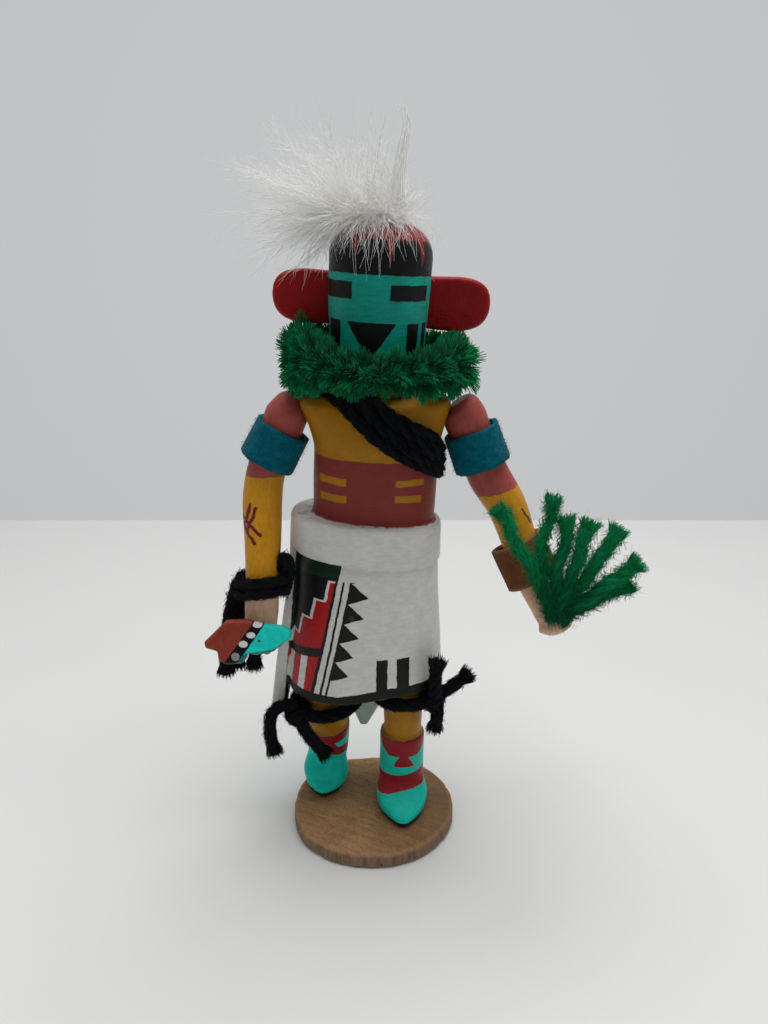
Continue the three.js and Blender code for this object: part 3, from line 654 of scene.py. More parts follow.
def bodyMaterial():
    f = Finish("bodyPaint", paints["white"], 0.5)
    x, y, z = f.x, f.y, f.z
    down = (z - 79.8) * (-1 / 39.8)  # 0 at the belt, 1 at the hem
    offX = x + down * 1.3 + 0.6
    turn = offX.maths("ARCTAN2", 5.0 - y) * degrees  # degrees from the middle of the front
    reachX = offX.size().maths("DIVIDE", down * 3.1 + 17.0).maths("POWER", 2.2)
    reachY = (y - 5.0).size().maths("DIVIDE", down * 1.7 + 11.5).maths("POWER", 2.2)
    kilt = (reachX + reachY).below(1.1, 0.04) * z.below(77.8)
    hem = (x + 8.5).maths("MULTIPLY", 1 / 12.5, clamp=True) * 2.5 + 40.0
    # panel at the front left: edge lines lean with the kilt
    edge = turn - ((z - 77.2) * 0.571 - 30.7)
    panel = edge.below(0.0, 0.5) * kilt * turn.above(-102.0, 1.0)
    f.layer(panel, paints["black"])
    steps = ((73.0 - z) * (1 / 5.3)).maths("FLOOR") * -10.0 - 9.0
    stepsLow = ((73.45 - z) * (1 / 5.3)).maths("FLOOR") * -10.0 - 9.0
    under = z.below(73.7) * z.above(42.0) * edge.below(-3.0, 0.5) * panel
    f.layer(under * edge.above(steps + 1.4, 0.5), paints["scarlet"])
    f.layer(under * edge.below(steps + 1.4, 0.5) * edge.above(stepsLow - 1.5, 0.5), paints["white"])
    bar = z.below((turn + 47.0) * 0.073 + 55.5)
    f.layer(panel * bar, paints["black"])
    stripes = panel * z.below((turn + 48.0) * 0.062 + 52.9) * edge.below(-3.0, 0.5)
    lean = turn + (52.0 - z) * 0.22
    f.layer(stripes, paints["scarlet"])
    f.layer(stripes * lean.within(-82.3, -74.6, 0.5).either(lean.within(-65.3, -58.5, 0.5)), paints["white"])
    top = z.above((turn + 78.0) * 0.022 + 73.4) * edge.below(-1.2, 0.5)
    f.layer(panel * top, paints["panelGreen"])
    # thin line, then the saw-toothed border
    drop = z.below(73.4)
    f.layer(kilt * drop * edge.within(4.9, 7.2, 0.5), paints["black"])
    teeth = (73.1 - z) * (1 / 5.22)
    tooth = teeth.maths("FRACT")
    reach = (tooth * (1 / 0.7)).maths("MINIMUM", (1.0 - tooth) * (1 / 0.3))
    root = (z - 73.0) * 0.12 + 15.6
    tip = (z - 73.0) * 0.37 + 38.0
    out = root + reach * (tip - root) * teeth.below(5.0, 0.05)
    left = (z - 73.0) * 0.1 + 13.0
    sawEnd = out.maths("MINIMUM", left + 2.3 + teeth.below(5.0, 0.05) * 60.0)
    f.layer(kilt * drop * edge.above(left, 0.5) * edge.below(sawEnd, 0.5), paints["black"])
    # two bars and the hem
    barTop = z.below(53.2)
    f.layer(kilt * barTop * turn.within(12.0, 23.6, 0.5), paints["black"])
    f.layer(kilt * barTop * turn.within(32.6, 44.2, 0.5), paints["black"])
    f.layer(kilt * z.below(hem + 2.7), paints["black"])
    # trunk
    trunk = (z + (x + 1.3) * 0.075).above(87.1)
    f.layer(trunk, paints["brick"])
    f.layer(trunk * z.above(102.3 - x * 0.05), paints["ochre"])
    front = y.below(5.0)
    for low, high, height, half, tilt in ((-11.8, -5.6, 97.5, 0.9, -0.1), (-11.8, -5.6, 93.3, 0.9, -0.06),
                                          (5.7, 12.2, 97.0, 0.76, 0.0), (5.5, 11.55, 93.1, 0.84, -0.08)):
        level = (x - (low + high) / 2) * tilt + height
        f.layer(front * x.within(low, high, 0.3) * (z - level).size().below(half), paints["ochre"])
    # legs and boots
    lower = z.below(hem - 0.1) * x.above(-19.7) * y.below(16.1).either(z.below(16.2))
    f.layer(lower, paints["ochre"])
    leftSide = x.below(-2.0)
    leftRun = (y - 7.4) * 0.285 + (25.2 - z) * 0.958  # down the shaft from its rim
    rightRun = 26.0 - z
    run = leftRun * leftSide + rightRun * (1.0 - leftSide)
    boot = lower * run.above(-0.05)
    f.layer(boot, paints["bootTurquoise"])
    # painted light: the left boot is lightened towards a brighter turquoise
    f.layer(boot * leftSide * 0.6, rgb(16, 230, 210))
    midX = leftSide * -20.0 + 8.2
    midY = leftSide * 6.6 + 2.6
    shinX = x - midX
    around = shinX.maths("ARCTAN2", midY - y).size() * degrees
    scale = leftSide * -0.34 + 1.0
    cuffLow = (4.8 - (around - 42.0).maths("MAXIMUM", 0.0) * 0.075) * scale
    f.layer(boot * run.below(cuffLow), paints["bootRed"])
    motif = run.within(scale * 4.0, scale * 8.1) * shinX.size().below((run - scale * 5.2) * 0.47 + 1.5)
    f.layer(boot * motif * y.below(midY), paints["bootRed"])
    ankleTop = scale * 10.6 - shinX * 0.13 - leftSide * 2.6 + leftSide * shinX * 0.55
    ankleLow = scale * 14.8 - shinX * 0.13 - leftSide * 1.6 + leftSide * shinX * 0.6
    f.layer(boot * run.above(ankleTop) * run.below(ankleLow), paints["bootRed"])
    f.layer(lower * z.below(6.2), paints["sole"])
    tab = y.above(16.1) * z.below(41.0) * z.above(16.2)
    f.layer(tab, paints["tabGrey"])
    return f.paint((0.45, 0.45, 1.5), 0.2, 0.38)


finished("carvedBody", bodyMesh(), "body", bodyMaterial())

# head: a turned block with a domed crown
headShape = {
    "radius": 11.1, "tall": 31.4, "dome": 6.6, "turn": -9.0, "roll": 3.1, "foot": (1.0, 5.0, 121.0),
    # the red cap's points: turn, half width, lowest height
    "capPoints": [
        (-66, 5.5, 24.6), (-19.5, 5.5, 25.3), (19.4, 4.5, 23.0), (60, 5.5, 23.0), (102, 5.5, 24.0),
        (150, 6, 25.0), (-120, 6, 24.2),
    ],
}


def headMesh():
    bm = bmesh.new()
    r, tall, dome = headShape["radius"], headShape["tall"], headShape["dome"]
    profile = [(0, 0), (r - 1.2, 0), (r - 0.85, 0.2), (r - 0.5, 0.8)]
    profile += [(r - 0.5 + 0.5 * i / 12, 0.8 + (tall * 0.55 - 0.8) * i / 12) for i in range(1, 13)]
    profile += [(r + 0.1, tall * 0.55 + (tall - dome - tall * 0.55) * i / 5) for i in range(1, 5)]
    for i in range(15):
        a = i / 14 * math.pi / 2
        out = 0 if i == 14 else r - dome + dome * math.cos(a) + 0.1
        profile.append((out, tall - dome + dome * math.sin(a) + 0.4 * (i / 14) ** 3))
    verts = [bm.verts.new((out, 0, high)) for out, high in profile]
    edges = [bm.edges.new(pair) for pair in zip(verts, verts[1:])]
    bmesh.ops.spin(bm, geom=verts + edges, axis=(0, 0, 1), cent=(0, 0, 0), angle=2 * math.pi, steps=96,
                   use_merge=True)
    bmesh.ops.remove_doubles(bm, verts=bm.verts, dist=0.001)
    for v in bm.verts:  # knife-cut unevenness
        v.co += Vector((v.co.x, v.co.y, 0)) * 0.008 * noise.noise(v.co * 0.16)
    bmesh.ops.recalc_face_normals(bm, faces=bm.faces)
    seat = Matrix.Translation(headShape["foot"]) @ Matrix.Rotation(math.radians(headShape["roll"]), 4, "Y")
    bmesh.ops.transform(bm, matrix=mm @ seat, verts=bm.verts)
    mesh = bpy.data.meshes.new("headBlock")
    bm.to_mesh(mesh)
    bm.free()
    return mesh


def headMaterial():
    f = Finish("maskPaint", paints["turquoise"], 0.45)
    roll = math.radians(headShape["roll"])
    fromX, fromZ = f.x - headShape["foot"][0], f.z - headShape["foot"][2]
    across = fromX * math.cos(roll) - fromZ * math.sin(roll)
    high = fromX * math.sin(roll) + fromZ * math.cos(roll)
    turn = across.maths("ARCTAN2", 5.0 - f.y) * degrees - headShape["turn"]  # degrees from the face's middle
    side = turn.size()
    f.layer(high.above(12.0) * turn.within(-32.0, 36.0, 14.0) * 0.5, paints["deepTurquoise"])
    f.layer(high.below(11.8) * 0.25, paints["deepTurquoise"])
    black = high.above(21.3)
    for low, top, left, right in ((16.25, 19.75, -76.0, -21.0), (16.3, 19.5, 21.3, 74.0)):
        black = black.either(high.within(low, top) * turn.within(left, right, 1.0))
    chin = high.below(11.75)
    black = black.either(chin * (turn - 1.6).size().below((high - 11.75) * 3.6 + 29.0, 1.0))
    for left, right in ((-61.0, -37.2), (-83.0, -68.0), (44.4, 62.4), (70.4, 83.0)):
        black = black.either(chin * turn.within(left, right, 1.0))
    f.layer(black, paints["black"])
    # red cap with drawn-down points
    capLow = high * 0.0 + 28.2
    for middle, wide, tip in headShape["capPoints"]:
        dip = (1.0 - (turn - middle).size() * (1 / wide)).maths("MAXIMUM", 0.0) * (28.2 - tip)
        capLow = capLow - dip
    f.layer(high.above(capLow), paints["capRed"])
    return f.paint((0.4, 0.4, 1.8), 0.25, 0.75)


finished("maskHead", headMesh(), "head", headMaterial())


# ears: painted boards
def earMaterial():
    f = Finish("earPaint", paints["earRed"])
    f.layer(speckle(f.tree, f.place, 0.3, 3.0).above(0.5, 0.3) * 0.5, rgb(118, 8, 12))
    # painted light: the left ear is lightened
    f.layer(f.x.below(0.0, 4.0) * 0.5, rgb(186, 10, 16))
    f.layer(edgeOf(f.tree).above(0.53, 0.06) * 0.6, rgb(186, 34, 30))
    return f.paint((0.5, 0.5, 2.2), 0.2)


earPaint = earMaterial()
for name, title in (("ear_left", "earLeft"), ("ear_right", "earRight")):
    finished(title, oneSkin(copyOf(name), 0.42, 4), name, earPaint)

# arms carved with their hands
armShape = {
    "voxel": 0.44,
    "left": [
        ((-17.2, 5, 115.8), 1.4, 2), ((-18.4, 5, 114.2), 3.4, 4), ((-19.6, 5, 111), 5, 5.2),
        ((-21.2, 5, 107), 4.9, 5.1),
        ((-23.2, 4.8, 102.4), 4.6, 4.8), ((-25.2, 4.4, 96.6), 4.6, 4.7), ((-26, 3.2, 91), 4.7, 4.7),
        ((-26, 0.4, 82), 4.4, 4.2), ((-26.1, -3.6, 71.4), 3.9, 3.4, 2.4), ((-26.3, -5.2, 66), 4, 2.9, 2.8),
        ((-26.6, -6.6, 60), 3.4, 2.3, 2.8), ((-26.8, -7.4, 56.6), 1.6, 1.2, 2.8),
    ],
    "right": [
        ((20, 5, 114.2), 2.6, 3), ((20.8, 5, 113.1), 4.3, 4.6), ((21.8, 5, 110.4), 5.1, 5.2),
        ((23.6, 5, 106), 4.9, 5), ((25.4, 4.8, 102), 4.7, 4.8), ((27.9, 4.4, 96.4), 5, 4.9),
        ((32.2, 3, 89.6), 4.7, 4.6), ((35.6, 0.6, 80.8), 4.2, 4),
        ((38.6, -2.2, 71.4), 3.4, 3.5, 2.4), ((40.6, -3.8, 66.6), 2.6, 3.8, 2.8),
        ((42, -4.9, 63.6), 2.4, 3.8, 2.8), ((42.6, -5.4, 61.8), 1.3, 2.6, 2.8),
    ],
    "fingers": [
        ((40.4, -6, 62.2), 1.5, 2.6, 2.6), ((43.2, -6.8, 62.4), 1.8, 3.2, 2.6),
        ((45.8, -7.6, 64), 1.6, 2.8, 2.6), ((47.2, -8, 65.6), 0.8, 1.6, 2.6),
    ],
    # brush marks on the left arm, from and to (x, z)
    "marks": [
        ((-28.3, 90.8), (-30.2, 85.2)), ((-26.9, 90.2), (-29.2, 84.8)), ((-30.6, 88.0), (-26.0, 84.3)),
        ((-30.1, 85.5), (-27.4, 82.3)),
    ],
}


def armMesh(*sweeps):
    bm = bmesh.new()
    for rows in sweeps:
        addSweep(bm, rows, 48, 90)
    return oneSkin(bm, armShape["voxel"], 4)


def armMaterial():
    f = Finish("armPaint", paints["armOchre"], 0.9)
    x, y, z = f.x, f.y, f.z
    leftSide = x.below(0.0)
    rightSide = 1.0 - leftSide
    f.layer(leftSide * z.above(97.2) + rightSide * z.above((x - 30.0) * 0.3 + 93.5), paints["rose"])
    front = y.below(2.6, 0.6)
    for start, end in armShape["marks"]:
        f.layer(f.mark(start, end, 0.42, front), paints["markRed"])
    f.layer(f.mark((35.4, 89.8), (37.8, 86.4), 0.22, front), rgb(70, 24, 20))
    f.layer(leftSide * z.below(71.0) + rightSide * z.below(74.0), paints["handTan"])
    return f.paint((1.5, 1.5, 0.4), 0.5)


armPaint = armMaterial()
finished("armLeft", armMesh(armShape["left"]), "arm_left", armPaint)
rightMesh = armMesh(armShape["right"], armShape["fingers"])
finished("armRight", rightMesh, "arm_right", armPaint)


def armPlace(rows, share):
    line = [Vector(row[0]) for row in rows]
    girth = [Vector((row[1], row[2], 0)) for row in rows]
    return curvePoint(line, share), -curveAlong(line, share), curvePoint(girth, share)


# dance wand: a notched plate in three colours
wandLook = {
    "voxel": 0.3, "hacked": 2.2,
    "dots": [  # x, z, half width, half height, colour
        (-26.3, 65.2, 1.05, 0.62, "white"), (-27.85, 63.0, 1.05, 0.66, "white"),
        (-29.6, 61.1, 1.05, 0.72, "white"), (-31.4, 58.4, 0.95, 0.9, "beadGrey"),
    ],
}


def wandMaterial():
    f = Finish("wandPaint", paints["wandRed"], 0.25)
    x, y, z = f.x, f.y, f.z
    across = (x + 28.7) * 0.796 - (z - 62.0) * 0.605
    f.layer(across.above(0.0), paints["wandTurquoise"])
    f.layer(across.above(1.2) * z.below((x + 22.0) * 0.16 + 60.1), rgb(8, 124, 112))
    f.layer(across.size().below(1.2), paints["black"])
    for dotX, dotZ, wide, tall, shade in wandLook["dots"]:
        offX, offZ = (x - dotX) * (1 / wide), (z - dotZ) * (1 / tall)
        f.layer((offX * offX + offZ * offZ).below(1.0, 0.2), paints[shade])
    offX, offZ = (x + 25.95) * (1 / 0.32), (z - 61.8) * (1 / 0.3)
    f.layer((offX * offX + offZ * offZ).below(1.0, 0.3), rgb(60, 40, 32))
    return f.paint((0.9, 0.9, 0.9), 1.0)


def wandMesh():
    mesh = oneSkin(copyOf("dance_wand"), wandLook["voxel"], 3)
    for v in mesh.vertices:  # the lower edge is hacked with a knife
        p = v.co * 1000
        low = min(max((p.x + 22.0) * 0.16 + 61.0 - p.z, 0), 1.5) * min(max(p.x + 30.0, 0), 1)
        v.co.z += 0.001 * low * wandLook["hacked"] * abs(noise.noise(Vector((p.x * 0.55, p.y * 0.3, 3.0))))
    return mesh


finished("danceWand", wandMesh(), "dance_wand", wandMaterial())
print("carved pieces done")

# felt armbands and leather wristband: strips bent round the arms
stripLook = {
    "felt": {"thick": 1.1, "tall": 9.0, "out": (0.8, 0.7), "flare": 0.0},
    "leather": {"thick": 1.0, "tall": 10.4, "out": (1.4, 0.9), "flare": 0.5},
}


def stripMesh(rows, share, askew, look, rough):
    centre, along, size = armPlace(rows, share)
    along = Matrix.Rotation(askew, 3, "Y") @ along
    bm = bmesh.new()
    bmesh.ops.create_cone(bm, cap_ends=False, segments=112, radius1=1, radius2=1, depth=1)
    upright = [e for e in bm.edges if abs(e.verts[0].co.z - e.verts[1].co.z) > 0.5]
    bmesh.ops.subdivide_edges(bm, edges=upright, cuts=9, use_grid_fill=True)
    turn = Vector((0, 0, 1)).rotation_difference(along).to_matrix().to_4x4()
    for v in bm.verts:
        swell = look["thick"] * 0.5 + look["flare"] * (0.5 - v.co.z)
        ruffle = rough * noise.noise(Vector((v.co.x * 2.1, v.co.y * 2.1, v.co.z + share * 9)))
        high = v.co.z * look["tall"]
        if abs(v.co.z) > 0.45:  # the cut edges are uneven
            high += rough * 0.9 * noise.noise(v.co * 3.3 + Vector((share * 5, 0, 0)))
        across, forth = size.x + look["out"][0] + swell + ruffle, size.y + look["out"][1] + swell + ruffle
        v.co = Vector((v.co.x * across, v.co.y * forth, high))
    bmesh.ops.recalc_face_normals(bm, faces=bm.faces)
    bmesh.ops.solidify(bm, geom=bm.faces, thickness=look["thick"])
    for v in bm.verts:
        v.co += Vector((v.co.x, v.co.y, 0)).normalized() * look["thick"] * 0.5
    bmesh.ops.transform(bm, matrix=Matrix.Translation(centre) @ turn, verts=bm.verts)
    bm.normal_update()
    hairs = []
    if look is stripLook["felt"]:
        bm.verts.index_update()
        for face in sorted(bm.faces, key=lambda face: sorted(v.index for v in face.verts)):
            if chance.random() < 0.5:
                way = (face.normal + anyWay() * 1.2).normalized()
                hairs.append(hair(face.calc_center_median(), way, chance.uniform(0.5, 1.3), 0.04, 0.6))
    bmesh.ops.transform(bm, matrix=mm, verts=bm.verts)
    mesh = bpy.data.meshes.new("strip")
    bm.to_mesh(mesh)
    bm.free()
    return together([mesh, tubes(hairs)]) if hairs else mesh


def feltMaterial():
    f = Finish("tealFelt", rgb(2, 92, 108))
    tone = speckle(f.tree, f.place, 1.1, 5.0, 0.7)
    f.layer(tone.below(0.46, 0.12) * 0.6, rgb(1, 72, 88))
    f.layer(tone.above(0.58, 0.1) * 0.3, rgb(12, 110, 126))
    f.wool(1.0, 0.06)
    bump = node(f.tree, "Bump", {"Strength": 0.7, "Distance": 0.0003, "Height": tone})
    f.tree.links.new(bump.outputs["Normal"], f.shader.inputs["Normal"])
    return f.material


def leatherMaterial():
    f = Finish("brownLeather", rgb(110, 66, 36))
    tone = speckle(f.tree, f.place, 0.5, 6.0, 0.7)
    fine = speckle(f.tree, f.place, 6.0, 3.0)
    f.layer(tone.above(0.52, 0.2) * 0.6, rgb(74, 44, 30))
    f.layer(fine.above(0.55, 0.12) * 0.3, rgb(140, 98, 68))
    f.layer(edgeOf(f.tree).above(0.56, 0.05) * 0.5, rgb(150, 116, 80))
    bump = node(f.tree, "Bump", {"Strength": 0.5, "Distance": 0.0002, "Height": fine * 0.6 + tone})
    f.tree.links.new(f.colour, f.shader.inputs["Base Color"])
    f.tree.links.new(fine.maths("MULTIPLY_ADD", 0.2, 0.68).socket, f.shader.inputs["Roughness"])
    f.shader.inputs["Specular IOR Level"].default_value = 0.12
    f.tree.links.new(bump.outputs["Normal"], f.shader.inputs["Normal"])
    return f.material


felt = feltMaterial()
bandLeft = stripMesh(armShape["left"], 0.335, 0.08, stripLook["felt"], 0.25)
finished("armbandLeft", bandLeft, "armband_left", felt)
bandRight = stripMesh(armShape["right"], 0.335, 0.06, stripLook["felt"], 0.25)
finished("armbandRight", bandRight, "armband_right", felt)
cuff = stripMesh(armShape["right"], 0.674, -0.2, stripLook["leather"], 0.2)
wristStrip = finished("leatherWristband", cuff, "wristband", leatherMaterial())
print("strips done")

# black yarn: bandolier, wrist tie and leg ties
yarnLook = {"ringOut": 2.35, "wristOut": 1.5}
yarnBlack = Finish("blackYarn", rgb(19, 20, 24)).wool(1.0, 0.03)


def yarnPiece(title, node, strands, material):
    plies, fuzz = [], []
    for path, settings in strands:
        a, b = yarnAlong(path, **settings)
        plies += a
        fuzz += b
    mesh = together([tubes(plies, 1), tubes(fuzz)])
    return finished(title, mesh, node, material)


def bandolierStrands():
    rows = [
        (-7.6, 5, 118, -0.2, 0, 1), (-5, -2.2, 117.6, -0.2, -0.7, 0.9), (0.4, -6.4, 113.2, 0, -1, 0.25),
        (6.4, -7.1, 108.8, 0.1, -1, 0), (12.6, -5.9, 104.6, 0.4, -1, 0), (16.5, -1, 101.4, 1, -0.6, 0),
        (17.2, 5, 100.6, 1, 0, 0), (16.4, 11.2, 101.4, 1, 0.6, 0), (12.2, 16, 104.6, 0.4, 1, 0),
        (6, 17.1, 109, 0.1, 1, 0), (0, 16.3, 113.4, 0, 1, 0.25), (-5.2, 12.2, 117.6, -0.2, 0.7, 0.9),
    ]
    places = [Vector(r[:3]) for r in rows]
    outward = [Vector(r[3:]) for r in rows]
    count = 150
    strands = []
    for k in range(7):
        shift = (k - 3) * 1.1
        path = []
        for i in range(count):
            share = (i / count * 12 + 3) / 18  # the loop is repeated at both ends, so it closes smoothly
            p = curvePoint(places[-3:] + places + places[:4], share)
            along = curveAlong(places[-3:] + places + places[:4], share)
            out = curvePoint(outward[-3:] + outward + outward[:4], share)
            wide = out.cross(along).normalized()
            out = along.cross(wide)
            sway = 0.6 * math.sin(2 * math.pi * (i / count * 3 + k * 0.37))
            lift = 0.45 * math.cos(2 * math.pi * (i / count * 5 + k * 0.43)) - 1.25
            path.append(p + wide * (shift + sway) + out * lift)
        look = {"radius": 1.2, "plies": 3, "twist": 0.5, "hairs": 8.5, "hairLong": 1.2, "closed": True}
        strands.append((path, look))
    return strands


yarnPiece("bandolierYarn", "bandolier", bandolierStrands(), yarnBlack)


def wristStrands():
    centre, along, size = armPlace(armShape["left"], 0.728)
    out = yarnLook["wristOut"]
    plain = {"radius": 1.65, "plies": 6, "twist": 0.3, "hairs": 30.0}
    askew = along + Vector((-0.12, 0, 0))
    wound = {**plain, "radius": 1.4, "closed": True}
    middles = [centre + along * shift for shift in (0.9, -1.3)]
    rings = [(ringPath(middle, askew, size.x + out, size.y + out), wound) for middle in middles]
    tails = [
        [(-21.2, -3.4, 69.6), (-20.2, -3.6, 73), (-19.6, -3.4, 76.8), (-20.8, -2.6, 78), (-21.8, -2, 75)],
        [(-27, 2, 71), (-31.6, 1, 71.6), (-34.6, -1, 64), (-36.2, -2.4, 55), (-36.6, -3, 47)],
        [(-27, 2, 69), (-31, 2, 67), (-34, 1.8, 58), (-34.8, 1.2, 46.4)],
        [(-26, 2, 69), (-27.6, 2.6, 63), (-29.2, 2, 55), (-30.6, 1.6, 45.8)],
    ]
    return rings + [(sampled(t, 0.8), {**plain, "frayed": (1,)}) for t in tails]


def legStrands(centre, along, across, forth, knot, tails):
    plain = {"radius": 1.65, "plies": 6, "twist": 0.3, "hairs": 30.0}
    out = yarnLook["ringOut"]
    ring = (ringPath(centre, along, across + out - 0.1, forth + out - 0.1), {**plain, "closed": True})
    ways = (0.6, -0.5, 0.6), (-0.5, 0.2, 0.8)
    knots = [(ringPath(knot, way, 2.1, 2.7), {**plain, "closed": True}) for way in ways]
    return [ring] + knots + [(sampled(t, 0.8), {**plain, "frayed": (1,)}) for t in tails]


yarnPiece("wristTie", "wrist_tie", wristStrands(), yarnBlack)
leftTails = [
    [(-19.6, 0, 33.6), (-22, -2.4, 37), (-25.4, -3, 35.4), (-26.6, -3, 29), (-25.6, -3.2, 23)],
    [(-19.4, 0, 33), (-17.6, -2.6, 29.4), (-14.4, -3.4, 25.2), (-12, -3.6, 22.4)],
]
rightTails = [
    [(15.6, -1.8, 39), (15.8, -5.4, 43), (15.6, -7.2, 48), (16, -7.6, 53)],
    [(15.6, -1.8, 39), (18.4, -2.2, 41), (21.8, -2.6, 44), (24.4, -3, 46.6)],
    [(15.4, -1.8, 39), (16.6, -3, 36.4), (16.4, -3.4, 33), (16, -3.6, 30.4)],
]
leftTie = legStrands((-12.1, 5.4, 34.4), (-0.1, -0.1, 1), 6.1, 5.9, (-19.6, 0.2, 33.4), leftTails)
yarnPiece("legTieLeft", "leg_tie_left", leftTie, yarnBlack)
rightTie = legStrands((8, 2.8, 38.6), (0.05, 0, 1), 5.6, 5.6, (15.6, -1.6, 38.8), rightTails)
yarnPiece("legTieRight", "leg_tie_right", rightTie, yarnBlack)
print("black yarn done")

# evergreen sprig: green yarn ends fanning out of the right hand
sprigLook = {
    "root": (43.2, -11, 67.4),
    "radii": (1.2, 1.1, 1.35, 1.5, 1.5, 1.6, 1.4),
    "strands": [  # middle, tip
        ((35.6, -11.8, 80), (28, -9.6, 93.6)), ((38.4, -11, 82), (40.4, -9, 95.4)),
        ((42.6, -11.8, 78), (44, -8.6, 91)), ((45.2, -12, 77.4), (48.4, -10.4, 89.6)),
        ((49.6, -10.6, 77.4), (56.6, -8.4, 87.4)),
        ((52, -11.8, 73.6), (61, -10.4, 80.6)), ((51.4, -9.8, 70.4), (60.2, -7.4, 73.8)),
    ],
}


def sprigStrands():
    strands = []
    for i, (middle, tip) in enumerate(sprigLook["strands"]):
        start = Vector(sprigLook["root"]) + Vector(((i - 3) * 0.3, (i % 3 - 1) * 0.7, 0))
        look = {"radius": sprigLook["radii"][i], "plies": 5, "twist": 0.35, "hairs": 41.0, "hairLong": 2.0}
        look.update({"frayed": (0, 1), "flare": 0.5, "fluff": 1.3})
        path = sampled([start, middle, tip], 0.8)
        for k, p in enumerate(path):  # soft waves, still at the hand
            p += noise.noise_vector(p * 0.16 + Vector((i * 7, 0, 0))) * 1.3 * min(1, k / 12)
        strands.append((path, look))
    return strands


def sprigMaterial():
    f = Finish("greenYarn", rgb(2, 122, 70), 0.0)
    rx, ry, rz = sprigLook["root"]
    away = ((f.x - rx) * (f.x - rx) + (f.z - rz) * (f.z - rz)).maths("SQRT")
    return f.wool(away.maths("MULTIPLY", 1 / 17, clamp=True) * 0.6 + 0.55, 0.05)  # painted shade, darker near the hand


yarnPiece("evergreenSprig", "evergreen_sprig", sprigStrands(), sprigMaterial())

# neck ruff: a bushy roll of wool tufts
ruffLook = {"radius": 17.6, "thick": 5.3, "centre": (1.6, 4.3, 123.0), "tufts": 480, "hairs": 41}


def ruffPoint(a, b, out):
    side = math.cos(a) ** 2
    behind = max(0.0, math.sin(a)) ** 2
    front = max(0.0, -math.sin(a)) ** 2
    taller, raised = (0.52 * side, 0.8 * side) if math.cos(a) < 0 else (0.2 * side, 1.6 * side)
    high = out * math.sin(b)
    high *= 1 + taller - (0.2 * front - 0.2 * side if high < 0 else 0)
    radius = ruffLook["radius"] - 0.8 * behind + out * math.cos(b)
    p = Vector((math.cos(a) * radius, math.sin(a) * radius, high + raised + 0.4 * behind))
    return Matrix.Rotation(math.radians(3.1), 3, "Y") @ p + Vector(ruffLook["centre"])


def ruffMesh():
    lines = []
    for t in range(ruffLook["tufts"]):
        # evenly strewn round the roll
        a = 2 * math.pi * (t * 0.6180339 % 1)
        b = math.pi * (-1 + 2 * (t * 0.7548777 % 1)) + chance.uniform(-0.15, 0.15)
        lumps = noise.noise(Vector((math.cos(a) * 2.6, math.sin(a) * 2.6, b * 0.7)))
        reach = ruffLook["thick"] * (chance.uniform(0.84, 1.06) + 0.26 * lumps)
        swirl = anyWay() * 0.7
        for h in range(ruffLook["hairs"]):
            # hairs leave the core together and open like a brush
            spreadA, spreadB = chance.gauss(0, 1), chance.gauss(0, 1)
            start = ruffPoint(a + spreadA * 0.016, b + spreadB * 0.1, 2.2)
            fall = 0.07 * (spreadA ** 2 + spreadB ** 2)
            tip = ruffPoint(a + spreadA * 0.044, b + spreadB * 0.19, reach * (1.03 - fall))
            lines.append([(start, 0.11), (tip + swirl + anyWay() * chance.uniform(0.1, 0.8), 0.085)])
    core = [[(ruffPoint(2 * math.pi * i / 48, 0, 0), 2.4) for i in range(49)]]
    return together([tubes(lines), tubes(core, 3)])


def ruffMaterial():
    f = Finish("greenWool", rgb(1, 128, 74), 0.0)
    cx, cy, cz = ruffLook["centre"]
    # painted shade: darker towards the core of the roll, in the gaps between tufts
    away = ((f.x - cx) * (f.x - cx) + (f.y - cy) * (f.y - cy)).maths("SQRT") - ruffLook["radius"]
    tall = (f.z - cz - 0.8 + (f.x - cx) * 0.054) * 0.85
    depth = (away * away + tall * tall).maths("SQRT") * (1 / ruffLook["thick"])
    shade = depth.maths("MULTIPLY_ADD", 1.7, -0.7, clamp=True).maths("MULTIPLY_ADD", 0.72, 0.3)
    return f.wool(shade, 0.05)


finished("neckRuff", ruffMesh(), "neck_ruff", ruffMaterial())
print("green wool done")

# feather tuft: fluffy plumes of down from the crown
tuftLook = {
    "root": (-1.4, 3.6, 152.8),
    # turn from the right in degrees, lengths, how many plumes
    "plumes": [
        ((106, 136), (13, 24), 13), ((136, 164), (17, 28), 15), ((164, 196), (15, 27), 15),
        ((196, 230), (10, 19), 10), ((78, 106), (11, 23), 14), ((40, 76), (6, 10), 8),
    ],
    "wisp": (86, 22),
    "strays": [
        (-33, 4, 148), (-35, 3, 150), (-36, 4, 156), (-30, 5, 169), (-31, 3, 162), (-9, 5, 176), (-4, 4, 176),
        (-14, 4, 174), (-24, 2, 143), (14, 3, 144), (16, 4, 150), (13, 4, 160),
    ],
    "fluff": 2000,
    "fringe": 1150,
}


def filament(start, way, long, radius, points, wander):
    # a soft line that drifts and curls as it goes
    line = []
    drift = anyWay() * wander
    for i in range(points):
        share = i / (points - 1)
        curl = noise.noise_vector(start * 0.5 + way * share * 2.4) * 0.16
        bend = drift * share * share * long + curl * long * share
        p = start + way * long * share + bend
        p.z -= 0.05 * long * share * share
        line.append((p, radius * (1 - 0.7 * share)))
    return line


